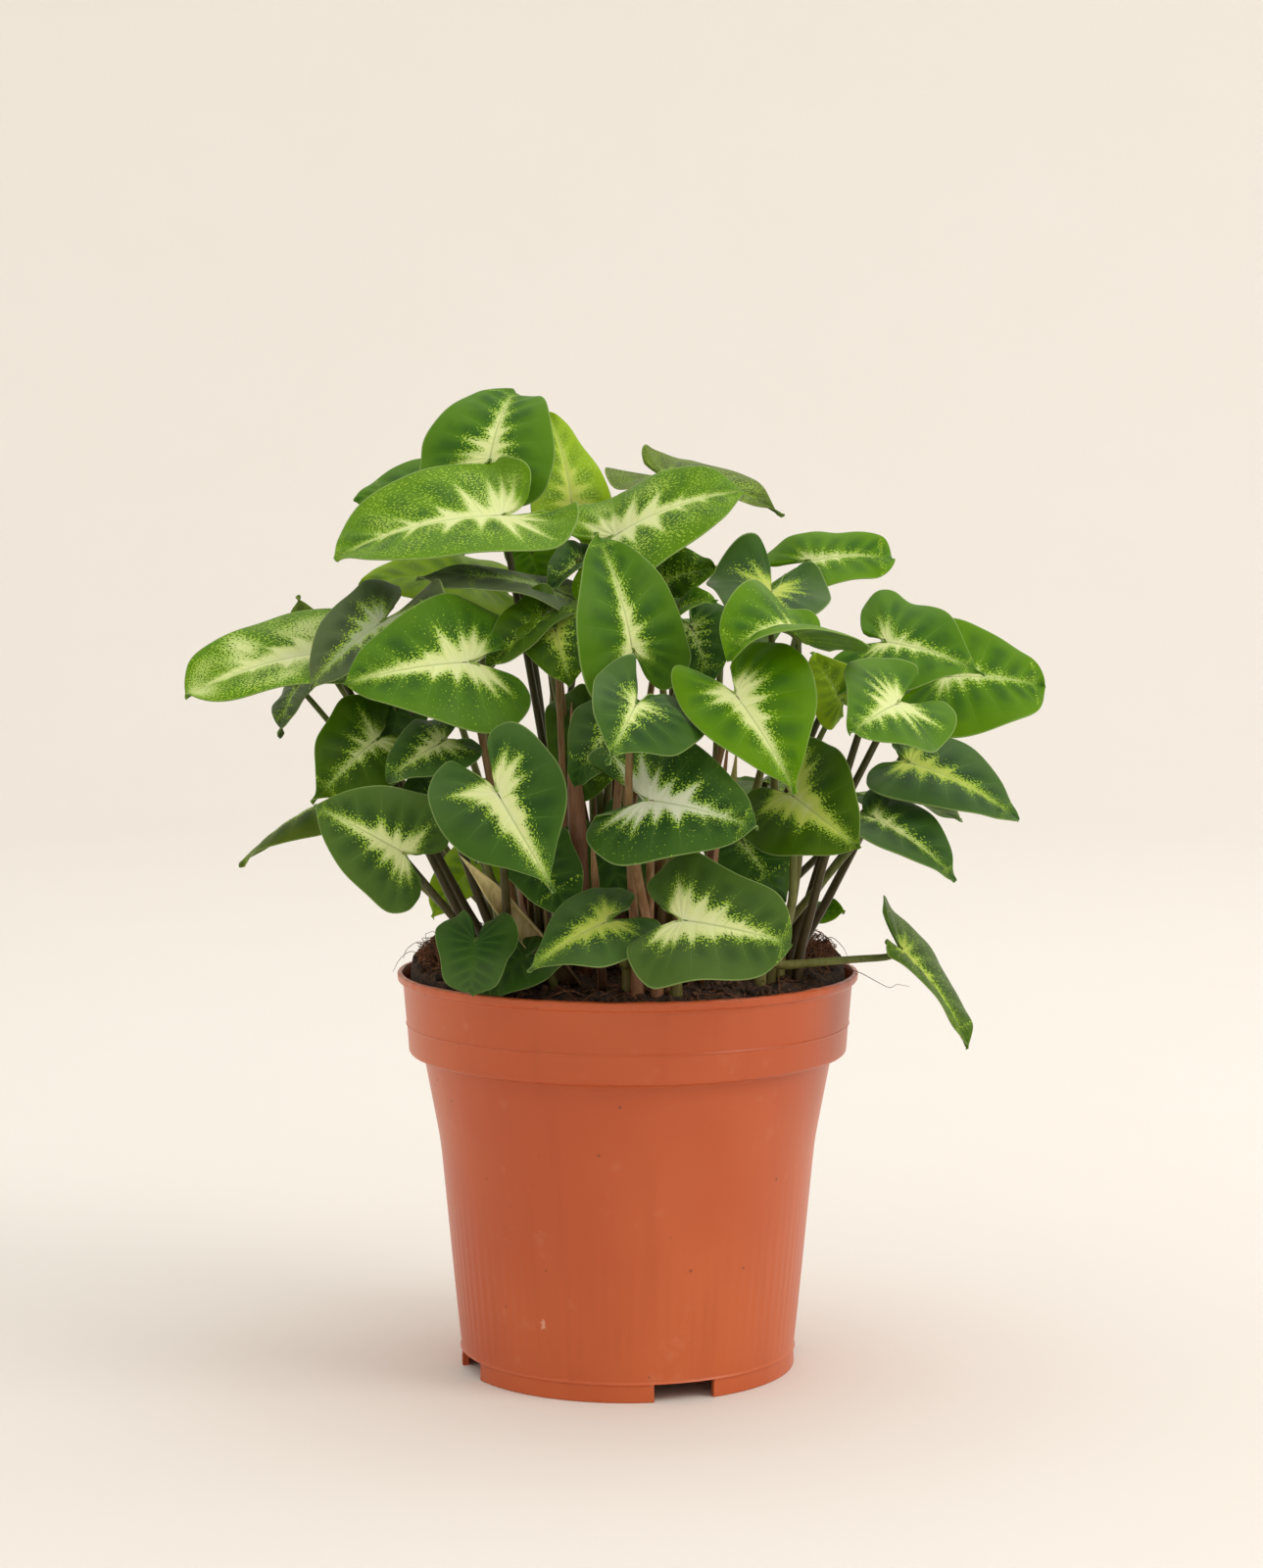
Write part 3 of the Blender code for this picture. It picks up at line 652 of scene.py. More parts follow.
LEAVES = [
    Leaf("top_round", (-36, 14, 236), (-30, 32, 254), (-1, -7, 7), width=0.64, lobes=(0.45, 0.45),
         curl=50, point=0.1, halves=(1.14, 1), star=(2.8, 0.88, 0.5), stalk="dark"),
    Leaf("top_left", (-32, -10, 221), (-74, -18, 210), (-2, -4, 9), width=0.62, lobes=(0.42, 0.36),
         fold=(6, 16), roll=10, lift=(60, 90), point=0.2, green="bright", star=(3.4, 0.95, 0.75),
         fleck=0.52, stalk="dark"),
    Leaf("top_behind", (-15, 28, 224), (-22, 38, 249), (5, -7, 4), width=0.46, green="yellow",
         pale="yellow", star=(2.9, 0.95, 0.7), fleck=0.5),
    Leaf("top_right", (-3, -14, 216), (29, -20, 227), (-3, -5, 8), width=0.62, lobes=(0.45, 0.4),
         lift=(60, 0), point=0.2, halves=(1, 1.25), green="bright", star=(3.8, 0.97, 0.75), fleck=0.5),
    Leaf("top_right_dark", (11, 25, 231), (41, 12, 221), (3, -3.3, 9), lobes=(0.42, 0.42),
         fold=(14, 14), lift=(60, 30), point=1, green="olive", pale="yellow", star=(1.2, 0.7, 0.4),
         fleck=0.4),
    Leaf("upper_left_back", (-47, 34, 228), (-73, 28, 225), (-1, -6, 9), star=(0.9, 0.7, 0.2)),
    Leaf("far_left", (-76, -10, 186), (-111, -26, 175.3), (-3, -6, 8), width=0.53, fold=(16, 16),
         point=0.2, green="bright", star=(5.0, 0.97, 0.8), fleck=0.85, stalk="dark"),
    Leaf("left_grey", (-62, -25, 194), (-79, -33, 178), (-4, -8, 4), width=0.5, lobes=(0.8, 0.5),
         fold=(20, 20), lift=(90, 0), spread=0.15, green="grey", pale="grey", star=(2.6, 0.9, 0.6),
         stalk="dark"),
    Leaf("left_big", (-39, -41, 185), (-69, -51, 180), (-1, -9, 5), width=0.6, lobes=(0.44, 0.52),
         star=(3.8, 0.94, 0.65), fleck=0.24, stalk="brown"),
    Leaf("left_shaded", (-19, -17, 202), (-53, -25, 205), (0, -4, 9), width=0.45, halves=(0.8, 0.5),
         green="grey", pale="grey", star=(1.5, 0.6, 0.4), stalk="brown"),
    Leaf("left_yellow", (-41, 12, 204), (-70, 6, 203), (-1, -5, 9), green="yellow", pale="yellow",
         star=(0.7, 0.5, 0.1)),
    Leaf("centre_dark", (-18, -32, 193), (-14, -38, 179), (-1, -9, 4), width=0.6, lobes=(0.4, 0.4),
         green="deep", pale="yellow", star=(2.1, 0.8, 0.6), stalk="brown"),
    Leaf("centre_tall", (1, -45, 189), (-8, -40, 217), (5, -8, 2), lobes=(0.45, 0.4), fold=(15, 15),
         star=(2.6, 0.85, 0.35), stalk="brown"),
    Leaf("front_small", (2, -68, 176), (-5, -83, 163), (3, -7, 6), width=0.62, lobes=(0.65, 0.75),
         lift=(0, 30), point=1, halves=(1.3, 0.85), green="dark", star=(2.0, 0.8, 0.4), stalk="brown"),
    Leaf("right_front", (26, -60, 178), (40, -70, 155), (2, -9, 3), width=0.6, lobes=(0.42, 0.5),
         fold=(14, 14), point=0.8, halves=(1.12, 0.78), green="bright", star=(3.4, 0.9, 0.5),
         stalk="brown"),
    Leaf("right_folded", (42, -46, 191), (24, -61, 186), (-1, -5, 8), width=0.66, lobes=(0.5, 0.6),
         fold=(32, 32), curl=100, lift=(90, 120), green="bright", star=(2.6, 0.8, 0.5), fleck=0.24),
    Leaf("right_upper", (37, -8, 202), (32, -28, 190), (1, -6, 8), width=0.6, lobes=(0.6, 0.8),
         lift=(60, 80), halves=(1, 1.15), green="dark", pale="yellow", star=(2.9, 0.85, 0.6)),
    Leaf("upper_right_back", (49, 25, 209), (71, 25, 209.5), (0, -6, 8), width=0.6, lobes=(0.62, 0.62),
         point=0, green="bright", star=(2.2, 0.8, 0.4)),
    Leaf("right_dark", (66, -15, 189), (90, -22, 181), (2, -8, 6), width=0.61, lobes=(0.45, 0.45),
         point=0.9, spread=0.2, star=(2.2, 0.8, 0.4), stalk="dark"),
    Leaf("right_square", (66, -46, 175), (53, -66, 169), (5, -6, 7), width=0.62, lobes=(0.72, 0.72),
         lift=(50, 50), spread=0, star=(3.4, 0.85, 0.8), stalk="dark"),
    Leaf("far_right", (83, 9, 179), (110, 16, 176), (0, -8, 6), width=0.66, point=0.1, green="bright",
         star=(1.9, 0.85, 0.4), stalk="dark"),
    Leaf("right_low", (72, -13, 158), (99, -21, 144), (3, -6, 8), width=0.52, lobes=(0.25, 0.25),
         green="dark", pale="yellow", star=(2.9, 0.85, 0.5), stalk="dark"),
    Leaf("right_lower", (62, -26, 145), (82, -33, 130), (3, -5, 8), width=0.5, lobes=(0.25, 0.25),
         fold=(18, 18), green="dark", star=(2.1, 0.85, 0.4)),
    Leaf("rim_right", (69, -30, 112), (85, -35, 88), (8, -3.5, 4.5), width=0.5, lobes=(0.5, 0.15),
         lift=(45, 0), halves=(1.35, 0.55), green="deep", pale="yellow", star=(1.7, 0.8, 0.4),
         fleck=0.3),
    Leaf("low_small_right", (47, 10, 116), (57, 5, 118), (1, -6, 7), green="bright"),
    Leaf("right_shaded", (40, -48, 153), (56, -61, 141), (-4, -8, 4), width=0.66, green="deep",
         pale="yellow", star=(4.3, 0.92, 0.7)),
    Leaf("front_centre", (5, -65, 153), (31, -75, 147), (1, -9, 5), width=0.62, lobes=(0.7, 0.46),
         lift=(25, 10), gap=0.1, green="dark", pale="white", star=(3.3, 0.85, 0.75), fleck=0.2,
         stalk="brown"),
    Leaf("front_behind", (-4, -47, 170), (-13, -50, 155), (-2, -8, 5), green="dark",
         star=(1.0, 0.6, 0.3), stalk="brown"),
    Leaf("front_left", (-31, -68, 155), (-17, -76, 132), (-1, -9, 3), width=0.56, lobes=(0.62, 0.55),
         point=1, green="dark", star=(4.0, 0.9, 0.55), stalk="dark"),
    Leaf("left_middle", (-46, -40, 165), (-59, -48, 156), (-2, -8, 5), green="dark",
         star=(2.4, 0.8, 0.6)),
    Leaf("left_inner", (-45, -31, 154), (-57, -39, 145), (-2, -8, 5), lobes=(0.35, 0.35), green="dark",
         star=(0.9, 0.6, 0.3)),
    Leaf("left_outer", (-63, -30, 165), (-78, -40, 150), (-1, -9, 3), width=0.58, point=0.9,
         green="deep", star=(2.0, 0.75, 0.55), stalk="dark"),
    Leaf("left_low", (-55, -50, 139), (-76, -56, 151), (-1, -9, 3), width=0.6, lobes=(0.42, 0.42),
         halves=(0.95, 1.05), green="slate", star=(3.1, 0.9, 0.5), stalk="dark"),
    Leaf("left_rolled", (-78, 5, 147), (-101, 0, 130), (-5, -1, 8), width=0.4, fold=(0, 0), roll=70,
         green="olive", star=(1.4, 0.9, 0.2)),
    Leaf("left_hanging", (-87, 15, 176), (-91, 8, 163), (-6, -6, 4), width=0.42, point=1, green="grey",
         pale="grey", star=(0.7, 0.6, 0.1)),
    Leaf("left_peek", (-85, 25, 188), (-88, 32, 200), (-3, -7, 5), width=0.4, point=1, green="olive"),
    Leaf("soil_heart", (-37, -52, 117), (-38, -57, 105), (-1, -9, 3), width=0.76, lobes=(0.72, 0.72),
         point=0, green="dark", pale="yellow"),
    Leaf("low_centre", (-5, -60, 123), (-24, -68, 112), (-3, -8, 6), width=0.56, point=0.9,
         halves=(1, 0.85), green="dark", pale="yellow", star=(2.9, 0.88, 0.6)),
    Leaf("low_right", (13, -72, 125), (39, -79, 120), (1, -9, 4), width=0.62, lobes=(0.42, 0.42),
         point=0.1, green="slate", star=(4.3, 0.9, 0.6)),
    Leaf("under_front", (-23, -42, 136), (-13, -48, 122), (1, -9, 3), width=0.6, lobes=(0.35, 0.35),
         halves=(1, 0.75), green="dark", star=(0.7, 0.5, 0.2), stalk="dark"),
    Leaf("low_yellow", (-40, 5, 130), (-51, 0, 117), (-2, -6, 7), green="yellow", pale="yellow"),
    Leaf("low_shaded", (29, -30, 139), (39, -36, 124), (1, -8, 6), green="dark", star=(0.9, 0.5, 0.2)),
    Leaf("mid_speckled", (9, -5, 204), (23, -10, 208), (0, -8, 6), width=0.66, lobes=(0.6, 0.6),
         green="deep", pale="yellow", star=(1.0, 0.6, 0.3), fleck=0.3, stalk="brown"),
    Leaf("mid_dark", (16, -25, 193), (21, -30, 179), (0, -8, 5), width=0.66, green="dark",
         star=(1.0, 0.7, 0.4)),
    Leaf("rear_top", (6, 42, 208), (8, 66, 198), (0, 4, 9), curl=50, star=(2.6, 0.88, 0.6)),
    Leaf("rear_left_high", (-52, 46, 186), (-70, 70, 174), (-3, 6, 7), green="bright",
         star=(3.3, 0.9, 0.7), fleck=0.4),
    Leaf("rear_mid_high", (-14, 56, 190), (-16, 83, 178), (-1, 6, 7), width=0.6, star=(3.5, 0.9, 0.7),
         stalk="dark"),
    Leaf("rear_right_high", (26, 52, 192), (36, 80, 182), (2, 6, 8), green="bright",
         star=(2.8, 0.9, 0.6), fleck=0.4),
    Leaf("rear_right", (56, 38, 178), (80, 58, 168), (4, 5, 7), star=(3.3, 0.9, 0.65), stalk="dark"),
    Leaf("rear_left", (-60, 50, 154), (-82, 66, 142), (-5, 5, 6), width=0.58, green="dark",
         star=(2.8, 0.85, 0.6), stalk="dark"),
    Leaf("rear_left_low", (-34, 56, 148), (-44, 81, 134), (-3, 7, 6), star=(3.0, 0.88, 0.65)),
    Leaf("rear_mid", (2, 60, 154), (4, 85, 138), (0, 8, 5), width=0.58, green="dark", pale="yellow",
         star=(3.3, 0.88, 0.6)),
    Leaf("rear_right_low", (38, 54, 148), (52, 78, 134), (3, 7, 6), star=(3.0, 0.88, 0.6),
         stalk="dark"),
    Leaf("rear_far_right", (66, 30, 146), (91, 43, 138), (2, 1, 9), width=0.42, lobes=(0.3, 0.3),
         green="dark", star=(2.3, 0.85, 0.5), stalk="dark"),
    Leaf("rear_low_left", (-28, 58, 121), (-38, 78, 107), (-3, 7, 6), lobes=(0.35, 0.35), green="dark",
         star=(2.6, 0.85, 0.6)),
    Leaf("rear_low_right", (24, 60, 120), (32, 80, 106), (2, 8, 5), lobes=(0.35, 0.35),
         star=(2.6, 0.85, 0.5)),
]

# Points of a half blade's edge from the tip round to the joint: how far along the midrib and
# across it, in blade lengths and half widths, and where the side vein to it leaves the midrib.
HALF_EDGE = [
    (1.0, 0.0, 1.0), (0.91, 0.20, 0.78), (0.73, 0.49, 0.50), (0.40, 0.83, 0.18),
    (0.05, 1.0, 0.02), (-0.45, 0.93, 0), (-0.85, 0.68, 0), (-1.0, 0.38, 0),
    (-0.72, 0.18, 0), (-0.30, 0.08, 0), (0, 0, 0),
]
# What some of those points gain: along and across for a blunt tip, and shares of spread and gap.
BLUNT_GAINS = {1: (0.06, 0.3), 2: (0.08, 0.3)}
SPREAD_SHARES = {5: 0.6, 6: 1.0, 7: 1.0}
GAP_SHARES = {8: 1.0, 9: 0.6}
DRIP_TIP = 0.6
DRIP_TIP_ENDS = 1.6
SCALLOP = 0.03


def unit(vector):
    """The vector at a length of 1."""
    vector = np.asarray(vector, float)
    return vector / np.linalg.norm(vector)


def edge_spot(leaf, side, s):
    """A spot of the blade's edge at s from 0 at the tip to 10 at the joint, and its vein's root."""
    half = 0 if side > 0 else 1
    blunt = 0.5 - leaf.point
    rows = []
    for n, (along, across, rib) in enumerate(HALF_EDGE):
        if along < 0:
            along *= leaf.lobes[half]
        gain_along, gain_across = BLUNT_GAINS.get(n, (0, 0))
        along += gain_along * blunt
        across = leaf.width * (across + gain_across * blunt)
        across += leaf.spread * SPREAD_SHARES.get(n, 0) + leaf.gap * GAP_SHARES.get(n, 0)
        rows.append((along, across * leaf.halves[half], rib))
    k = min(int(s), len(rows) - 2)
    spot = rounded(rows, k, s - k)
    pinch = 1 - DRIP_TIP * max(0, 1 - s / DRIP_TIP_ENDS) ** 2
    scallop = 1 + SCALLOP * math.sin(2.3 * s + sum(leaf.joint))
    return spot[0], spot[1] * pinch * scallop, between((rows[k][2], rows[k + 1][2]), s - k)


WAVE = 0.5


class Bend:
    """How a leaf's flat blade is curled, folded and turned in space."""

    def __init__(self, leaf):
        self.leaf = leaf
        self.joint = np.array(leaf.joint, float)
        reach = np.array(leaf.tip, float) - self.joint
        self.ahead = unit(reach)
        face = unit(leaf.face)
        self.up = unit(face - self.ahead * face.dot(self.ahead))
        self.left = np.cross(self.up, self.ahead)
        self.curl = math.radians(leaf.curl) + 1e-4
        self.length = np.linalg.norm(reach) * (self.curl / 2) / math.sin(self.curl / 2)

    def at(self, along, across, rim, s):
        """Spots in space of arrays of spots on the flat blade, and the blade's facing there."""
        leaf = self.leaf
        left_side = across >= 0
        lobe = np.where(left_side, *leaf.lobes)
        lift = np.radians(np.where(left_side, *leaf.lift))
        rate = np.where(along < 0, self.curl - lift / lobe + 1e-4, self.curl)
        start = self.curl / 2
        slope = start - rate * along
        x = (math.sin(start) - np.sin(slope)) / rate
        z = (np.cos(slope) - math.cos(start)) / rate
        face = self.up * np.cos(slope)[:, None] - self.ahead * np.sin(slope)[:, None]
        bend = math.radians(leaf.roll) / leaf.width + 1e-4
        rise = np.radians(np.where(left_side, *leaf.fold))
        reach = np.abs(across)
        flat = (np.sin(rise) - np.sin(rise - bend * reach)) / bend
        lifted = (np.cos(rise - bend * reach) - np.cos(rise)) / bend
        side = np.where(left_side, 1, -1)
        spot = self.joint + self.length * (
            self.ahead * x[:, None] + self.up * z[:, None] + self.left * (side * flat)[:, None]
            + face * lifted[:, None])
        wave = WAVE * np.sin(s * 1.5 + sum(leaf.tip) + side) * rim * rim
        return spot + face * wave[:, None], face


# Side veins, as the value of s where each meets the edge, and how far a cream arm runs up it.
VEINS = (0, 0.7, 1.35, 2.0, 2.7, 3.4, 4.2, 5.1, 6.1, 7.3, 8.5, 10)
ARM_REACH = (0, 0.25, 0.4, 0.5, 0.6, 0.7, 0.85, 0.95, 0.9, 0.6, 0.2, 0)
STEPS_A_VEIN = 6
BANDS = (0, 0.05, 0.12, 0.2, 0.29, 0.38, 0.47, 0.56, 0.65, 0.74, 0.82, 0.89, 0.945, 0.98, 1)
BLADE_THICK = 0.5
QUILT_HEIGHT = 0.009
MIDRIB_DEEP = 0.12
MIDRIB_WIDE = 0.6
MIDRIB_KEEL = 0.35
VEIN_KEEL = 0.12
FINE_RIPPLE = 0.12
BROAD_RIPPLE = 0.75
FIRM_EDGE = 1.1
SOFT_EDGE = 1.8
SHORTEST_ARM = 0.08
DENSE_FLECK = 0.25
# The grey green, and the grey pale of its stars, are the leaves' green and cream greyed by a painted
# sheen.
GREENS = {
    "dark": colour(50, 86, 26), "mid": colour(68, 112, 20), "bright": colour(76, 122, 2),
    "olive": colour(78, 100, 30), "grey": colour(78, 96, 60), "yellow": colour(122, 158, 20),
    "deep": colour(58, 92, 6), "slate": colour(64, 94, 36),
}
PALES = {
    "cream": colour(222, 233, 164), "white": colour(216, 224, 196), "yellow": colour(196, 212, 98),
    "grey": colour(178, 192, 156),
}
STALKS = {
    # colour near the soil, colour under the blade
    "green": (colour(132, 122, 74), colour(84, 100, 40)),
    "dark": (colour(78, 60, 40), colour(62, 66, 30)),
    "brown": (colour(172, 122, 98), colour(120, 104, 60)),
}
UNDER_GREEN = colour(96, 126, 66)
GREEN_VARIES = 0.12
# Painted sheen: the grey that the up-facing parts of the dark and grey leaves are mixed towards.
SHEEN_GREY = colour(120, 140, 108)
SHEEN_GREENS = ("dark", "grey")


def blade_grid(leaf):
    """A blade laid flat: its spots (along, across, rim, s), its faces of (spot, side, s, rim)."""
    spots, index, faces = [], {}, []
    stations = []
    for vein_pair in zip(VEINS, VEINS[1:]):
        for n in range(STEPS_A_VEIN):
            stations.append(between(vein_pair, n / STEPS_A_VEIN))
    stations.append(VEINS[-1])
    for side in (1, -1):
        rows = []
        for i, s in enumerate(stations):
            along, across, rib = edge_spot(leaf, side, s)
            row = []
            for j, t in enumerate(BANDS):
                if i == 0:
                    key, spot = "tip", (1.0, 0.0, 0.0, 0.0)
                elif i == len(stations) - 1 or (j == 0 and rib == 0):
                    key, spot = "joint", (0.0, 0.0, 0.0, 10.0)
                elif j == 0:
                    key, spot = ("rib", round(rib, 5)), (rib, 0.0, 0.0, s)
                else:
                    key = (side, i, j)
                    spot = (rib + (along - rib) * t, across * t * side, t, s)
                if key not in index:
                    index[key] = len(spots)
                    spots.append(spot)
                row.append(index[key])
            rows.append(row)
        for i in range(len(stations) - 1):
            for j in range(len(BANDS) - 1):
                corners = []
                for a, b in ((i, j), (i, j + 1), (i + 1, j + 1), (i + 1, j)):
                    if rows[a][b] not in [c[0] for c in corners]:
                        corners.append((rows[a][b], side, stations[a], BANDS[b]))
                if len(corners) > 2:
                    faces.append(corners if side > 0 else corners[::-1])
    return np.array(spots), faces


def near_line(spots, start, end):
    """For each spot its distance from a straight line, and the share of the line beside it."""
    line = end - start
    share = np.clip(((spots - start) @ line) / line.dot(line), 0, 1)
    return np.linalg.norm(spots - start - share[:, None] * line, axis=1), share


def star(leaf, spots, length, draw):
    """How pale each spot is: over 1 on the midrib's star, 0.5 at its edge, 0 or less beyond."""
    half, reach, arms = leaf.star
    if half == 0:
        return np.full(len(spots), -1.0)
    flat = spots[:, :2] * length
    along = spots[:, 0]
    core = half * np.clip(1 - along / reach, 0, 1) ** 0.7
    core = np.where(along < 0, half * np.clip(1 + along * 5, 0, 1), core)
    inside = core - np.abs(flat[:, 1])
    inside = np.where(along > reach, (reach - along) * length, inside)
    for side in (1, -1):
        for k, vein in enumerate(VEINS[1:-1], 1):
            end_along, end_across, rib = edge_spot(leaf, side, vein)
            run = arms * ARM_REACH[k] * (0.7 + 0.6 * draw.random())
            if run < SHORTEST_ARM or rib > reach:
                continue
            start = np.array((rib, 0.0)) * length
            end = np.array((end_along, end_across * side)) * length
            gap, share = near_line(flat, start, start + (end - start) * run)
            base = half * (1.0 if rib < 0.3 else 0.8 * (1 - rib / reach) ** 0.5)
            inside = np.maximum(inside, base * (1 - share) ** 0.9 - gap)
    pale = 0.5 + inside / (2 * np.where(inside > 0, FIRM_EDGE, SOFT_EDGE))
    if leaf.fleck == 0:
        return pale
    spread = np.clip(1.15 - np.abs(spots[:, 2]) * 0.9, 0, 1) * np.clip(1.3 - along, 0.2, 1)
    if leaf.fleck > DENSE_FLECK:
        spread = 1 - 0.6 * spots[:, 2] ** 6
    drift = np.array([noise.noise(Vector((x * 0.12, y * 0.12, sum(leaf.joint)))) for x, y in flat])
    return np.maximum(pale, leaf.fleck * spread * (1 + 0.9 * drift) - 0.2)


def grown_blade(leaf, bend, spots, grid):
    """Points, faces, map marks and facing of a blade: veins pressed in, quilted between."""
    along, across, rim, s = spots.T
    middle, _ = bend.at(along, across, rim, s)
    rings = [[c[0] for c in face] for face in grid]
    facing = np.zeros_like(middle)
    for ring in rings:
        a, b, c = middle[ring[0]], middle[ring[1]], middle[ring[-1]]
        turn = np.cross(b - a, c - a)
        for n in ring:
            facing[n] += turn
    facing /= np.linalg.norm(facing, axis=1)[:, None] + 1e-12
    phase = np.interp(s, VEINS, range(len(VEINS)))
    beside_veins = np.abs(np.sin(np.pi * phase))
    inside_rim = 4 * rim * (1 - rim)
    quilt = QUILT_HEIGHT * bend.length * (beside_veins ** 0.8 * inside_rim ** 0.7 - 0.4 * inside_rim)
    groove = np.exp(-(across * bend.length / MIDRIB_WIDE) ** 2) * np.clip(1.1 - along, 0, 1)
    ripple = FINE_RIPPLE * np.sin(s * 5.3 + sum(leaf.joint)) * rim ** 3
    broad_phase = s * 2.2 + 2 * np.sign(across) + sum(leaf.face)
    ripple = ripple + BROAD_RIPPLE * np.sin(broad_phase) * rim ** 2
    middle = middle + facing * (quilt - MIDRIB_DEEP * groove + ripple)[:, None]
    over = BLADE_THICK / 2 * (1 - 0.5 * rim ** 8)
    under = over + MIDRIB_KEEL * groove + VEIN_KEEL * (1 - beside_veins) ** 3 * (1 - rim)
    points = np.vstack([middle + facing * over[:, None], middle - facing * under[:, None]])
    count = len(spots)
    skins, grain = [], []
    borders = {}
    for face, ring in zip(grid, rings):
        skins.append(tuple(ring))
        skins.append(tuple(n + count for n in ring[::-1]))
        marks = []
        for _, side, where, t in face:
            marks.append(((where * 0.27 + 5) * side * bend.length, t * leaf.width * bend.length,
                          np.interp(where, VEINS, range(len(VEINS))), t))
        grain += marks + marks[::-1]
        for k in range(len(face)):
            a, b = ring[k], ring[(k + 1) % len(ring)]
            borders[(a, b)] = (marks[k], marks[(k + 1) % len(ring)])
    for (a, b), (mark_a, mark_b) in borders.items():
        if (b, a) not in borders:
            skins.append((b, a, a + count, b + count))
            grain += [mark_b, mark_a, mark_a, mark_b]
    return points, skins, np.array(grain), facing


SHEEN_PATCH_COLOUR = colour(112, 130, 88)
VEIN_COLOUR = colour(126, 160, 88)
DOT_COLOUR = colour(150, 186, 52)
STAR_CORE_COLOUR = colour(240, 243, 216)
RAY_COLOUR = colour(164, 194, 88)
MIDRIB_COLOUR = colour(154, 178, 104)
EDGE_COLOUR = colour(168, 190, 120)
blade_finish, blade_shader, blade_place = new_finish("leaf blade", {
    "Specular IOR Level": 0.1, "Subsurface Weight": 0.08,
    "Subsurface Radius": (0.6, 1.0, 0.2), "Subsurface Scale": 0.002})
grain = blade_place.node("UVMap", {"uv_map": "grain"})
vein_map = blade_place.node("UVMap", {"uv_map": "veins"})
vein_parts = blade_place.node("SeparateXYZ", {}, {"Vector": vein_map})
band = vein_parts.node("SeparateXYZ", {}, {"Vector": vein_map}, 1)
leaf_green = blade_place.node("VertexColor", {"layer_name": "tint"})
leaf_pale = blade_place.node("VertexColor", {"layer_name": "pale_tint"})
paleness = blade_place.node("Attribute", {"attribute_name": "pale"}, {}, 2)
stipple = grain.stretch(2000, 1450, 1).cloud(1.0, 1.0)
streaks = grain.stretch(1050, 130, 1).cloud(1.0, 2.0)
cream = (paleness + (stipple - 0.5) * 3.0 + (streaks - 0.5) * 0.7).rise(0.48, 0.57)
cloudy = blade_place.cloud(95.0, 4.0)
green_tone = cloudy.rise(0.3, 0.7).paint(leaf_green, leaf_green.toned(1.25, 0.49))
beside_vein = vein_parts.sum_node("PINGPONG", vein_parts, 0.5) * 2
patchy = grain.stretch(130, 130, 1).cloud(1.0, 2.0) * 0.9 - 0.45
# Painted shade: the blade is darkened in patches between its side veins, away from the midrib and the
# edge.
shade_between_veins = beside_vein.rise(0.0, 0.9) * band.rise(0.05, 0.25) * (band + patchy).rise(0.95, 0.45)
shade_between_veins = shade_between_veins * cloudy.rise(0.9, 0.4) * 0.68
green_tone = shade_between_veins.paint(green_tone, leaf_green.toned(0.5, 0.525, 0.92))
# Painted light: the outer part of each half is lightened towards the edge.
green_tone = (band.rise(0.6, 1.0) * 0.5).paint(green_tone, leaf_green.toned(1.3, 0.485))
depth_of_green = blade_place.node("SeparateColor", {}, {"Color": leaf_green}, 1)
# Dark leaves are painted greyer in soft patches, a painted sheen.
sheen_patches = blade_place.cloud(34.0, 2.0).rise(0.48, 0.7) * depth_of_green.rise(0.17, 0.09) * 0.16
green_tone = sheen_patches.paint(green_tone, SHEEN_PATCH_COLOUR)
vein_line = beside_vein.rise(0.08, 0.0) * band.rise(1.05, 0.3) * 0.22
green_tone = vein_line.paint(green_tone, VEIN_COLOUR)
rays = grain.stretch(900, 45, 1).cloud(1.0, 3.0).rise(0.5, 0.72) * paleness.rise(3.0, 1.0)
cream_tone = paleness.rise(0.3, 1.3).paint(DOT_COLOUR, leaf_pale)
cream_tone = (paleness.rise(1.2, 3.2) * 0.55).paint(cream_tone, STAR_CORE_COLOUR)
cream_tone = (rays * 0.45).paint(cream_tone, RAY_COLOUR)
blade_tone = (cream * 0.95).paint(green_tone, cream_tone)
off_midrib = blade_place.node("Attribute", {"attribute_name": "off_midrib"}, {}, 2)
midrib_line = off_midrib.rise(0.34, 0.12) * cream
blade_tone = (midrib_line * 0.55).paint(blade_tone, MIDRIB_COLOUR)
edge_line = band.rise(0.972, 0.995)
blade_tone = (edge_line * 0.4).paint(blade_tone, EDGE_COLOUR)
blade_tone.feed(blade_shader, "Base Color")
(cloudy * 0.14 + 0.36 + cream * 0.08).feed(blade_shader, "Roughness")
skin = grain.stretch(700, 700, 1).cloud(1.0, 2.0) * 0.3 + vein_line * 1.2
skin.emboss(blade_shader, 0.12, 0.0004)

stalk_finish, stalk_shader, stalk_place = new_finish("leaf stalk", {
    "Roughness": 0.38, "Specular IOR Level": 0.25,
    "Subsurface Weight": 0.1, "Subsurface Scale": 0.001})
stalk_tint = stalk_place.node("VertexColor", {"layer_name": "tint"})
streaks = stalk_place.stretch(900, 900, 90).cloud(1.0, 3.0)
stalk_tone = streaks.rise(0.35, 0.7).paint(stalk_tint, stalk_tint.toned(0.72, 0.5, 1.1))
stalk_tone.feed(stalk_shader, "Base Color")

STALK_FOOT = 94.0
STALKS_WITHIN = 52
STALK_FOOT_RADIUS = 1.15
STALK_TOP_RADIUS = 0.84
STALK_SIDES = 10
STALK_KNOTS = 7
FLARES = {"green": 0.7, "dark": 0.5, "brown": 0.9}
FLARE_SHARE = 0.17
LARGE_BLADE = 18
SMALL_BLADE_STALK = 0.8
RUN_OUT = (0, 0.15, 0.4)
RUN_OUT_STEPS = (len(RUN_OUT) - 1) * PATH_STEPS


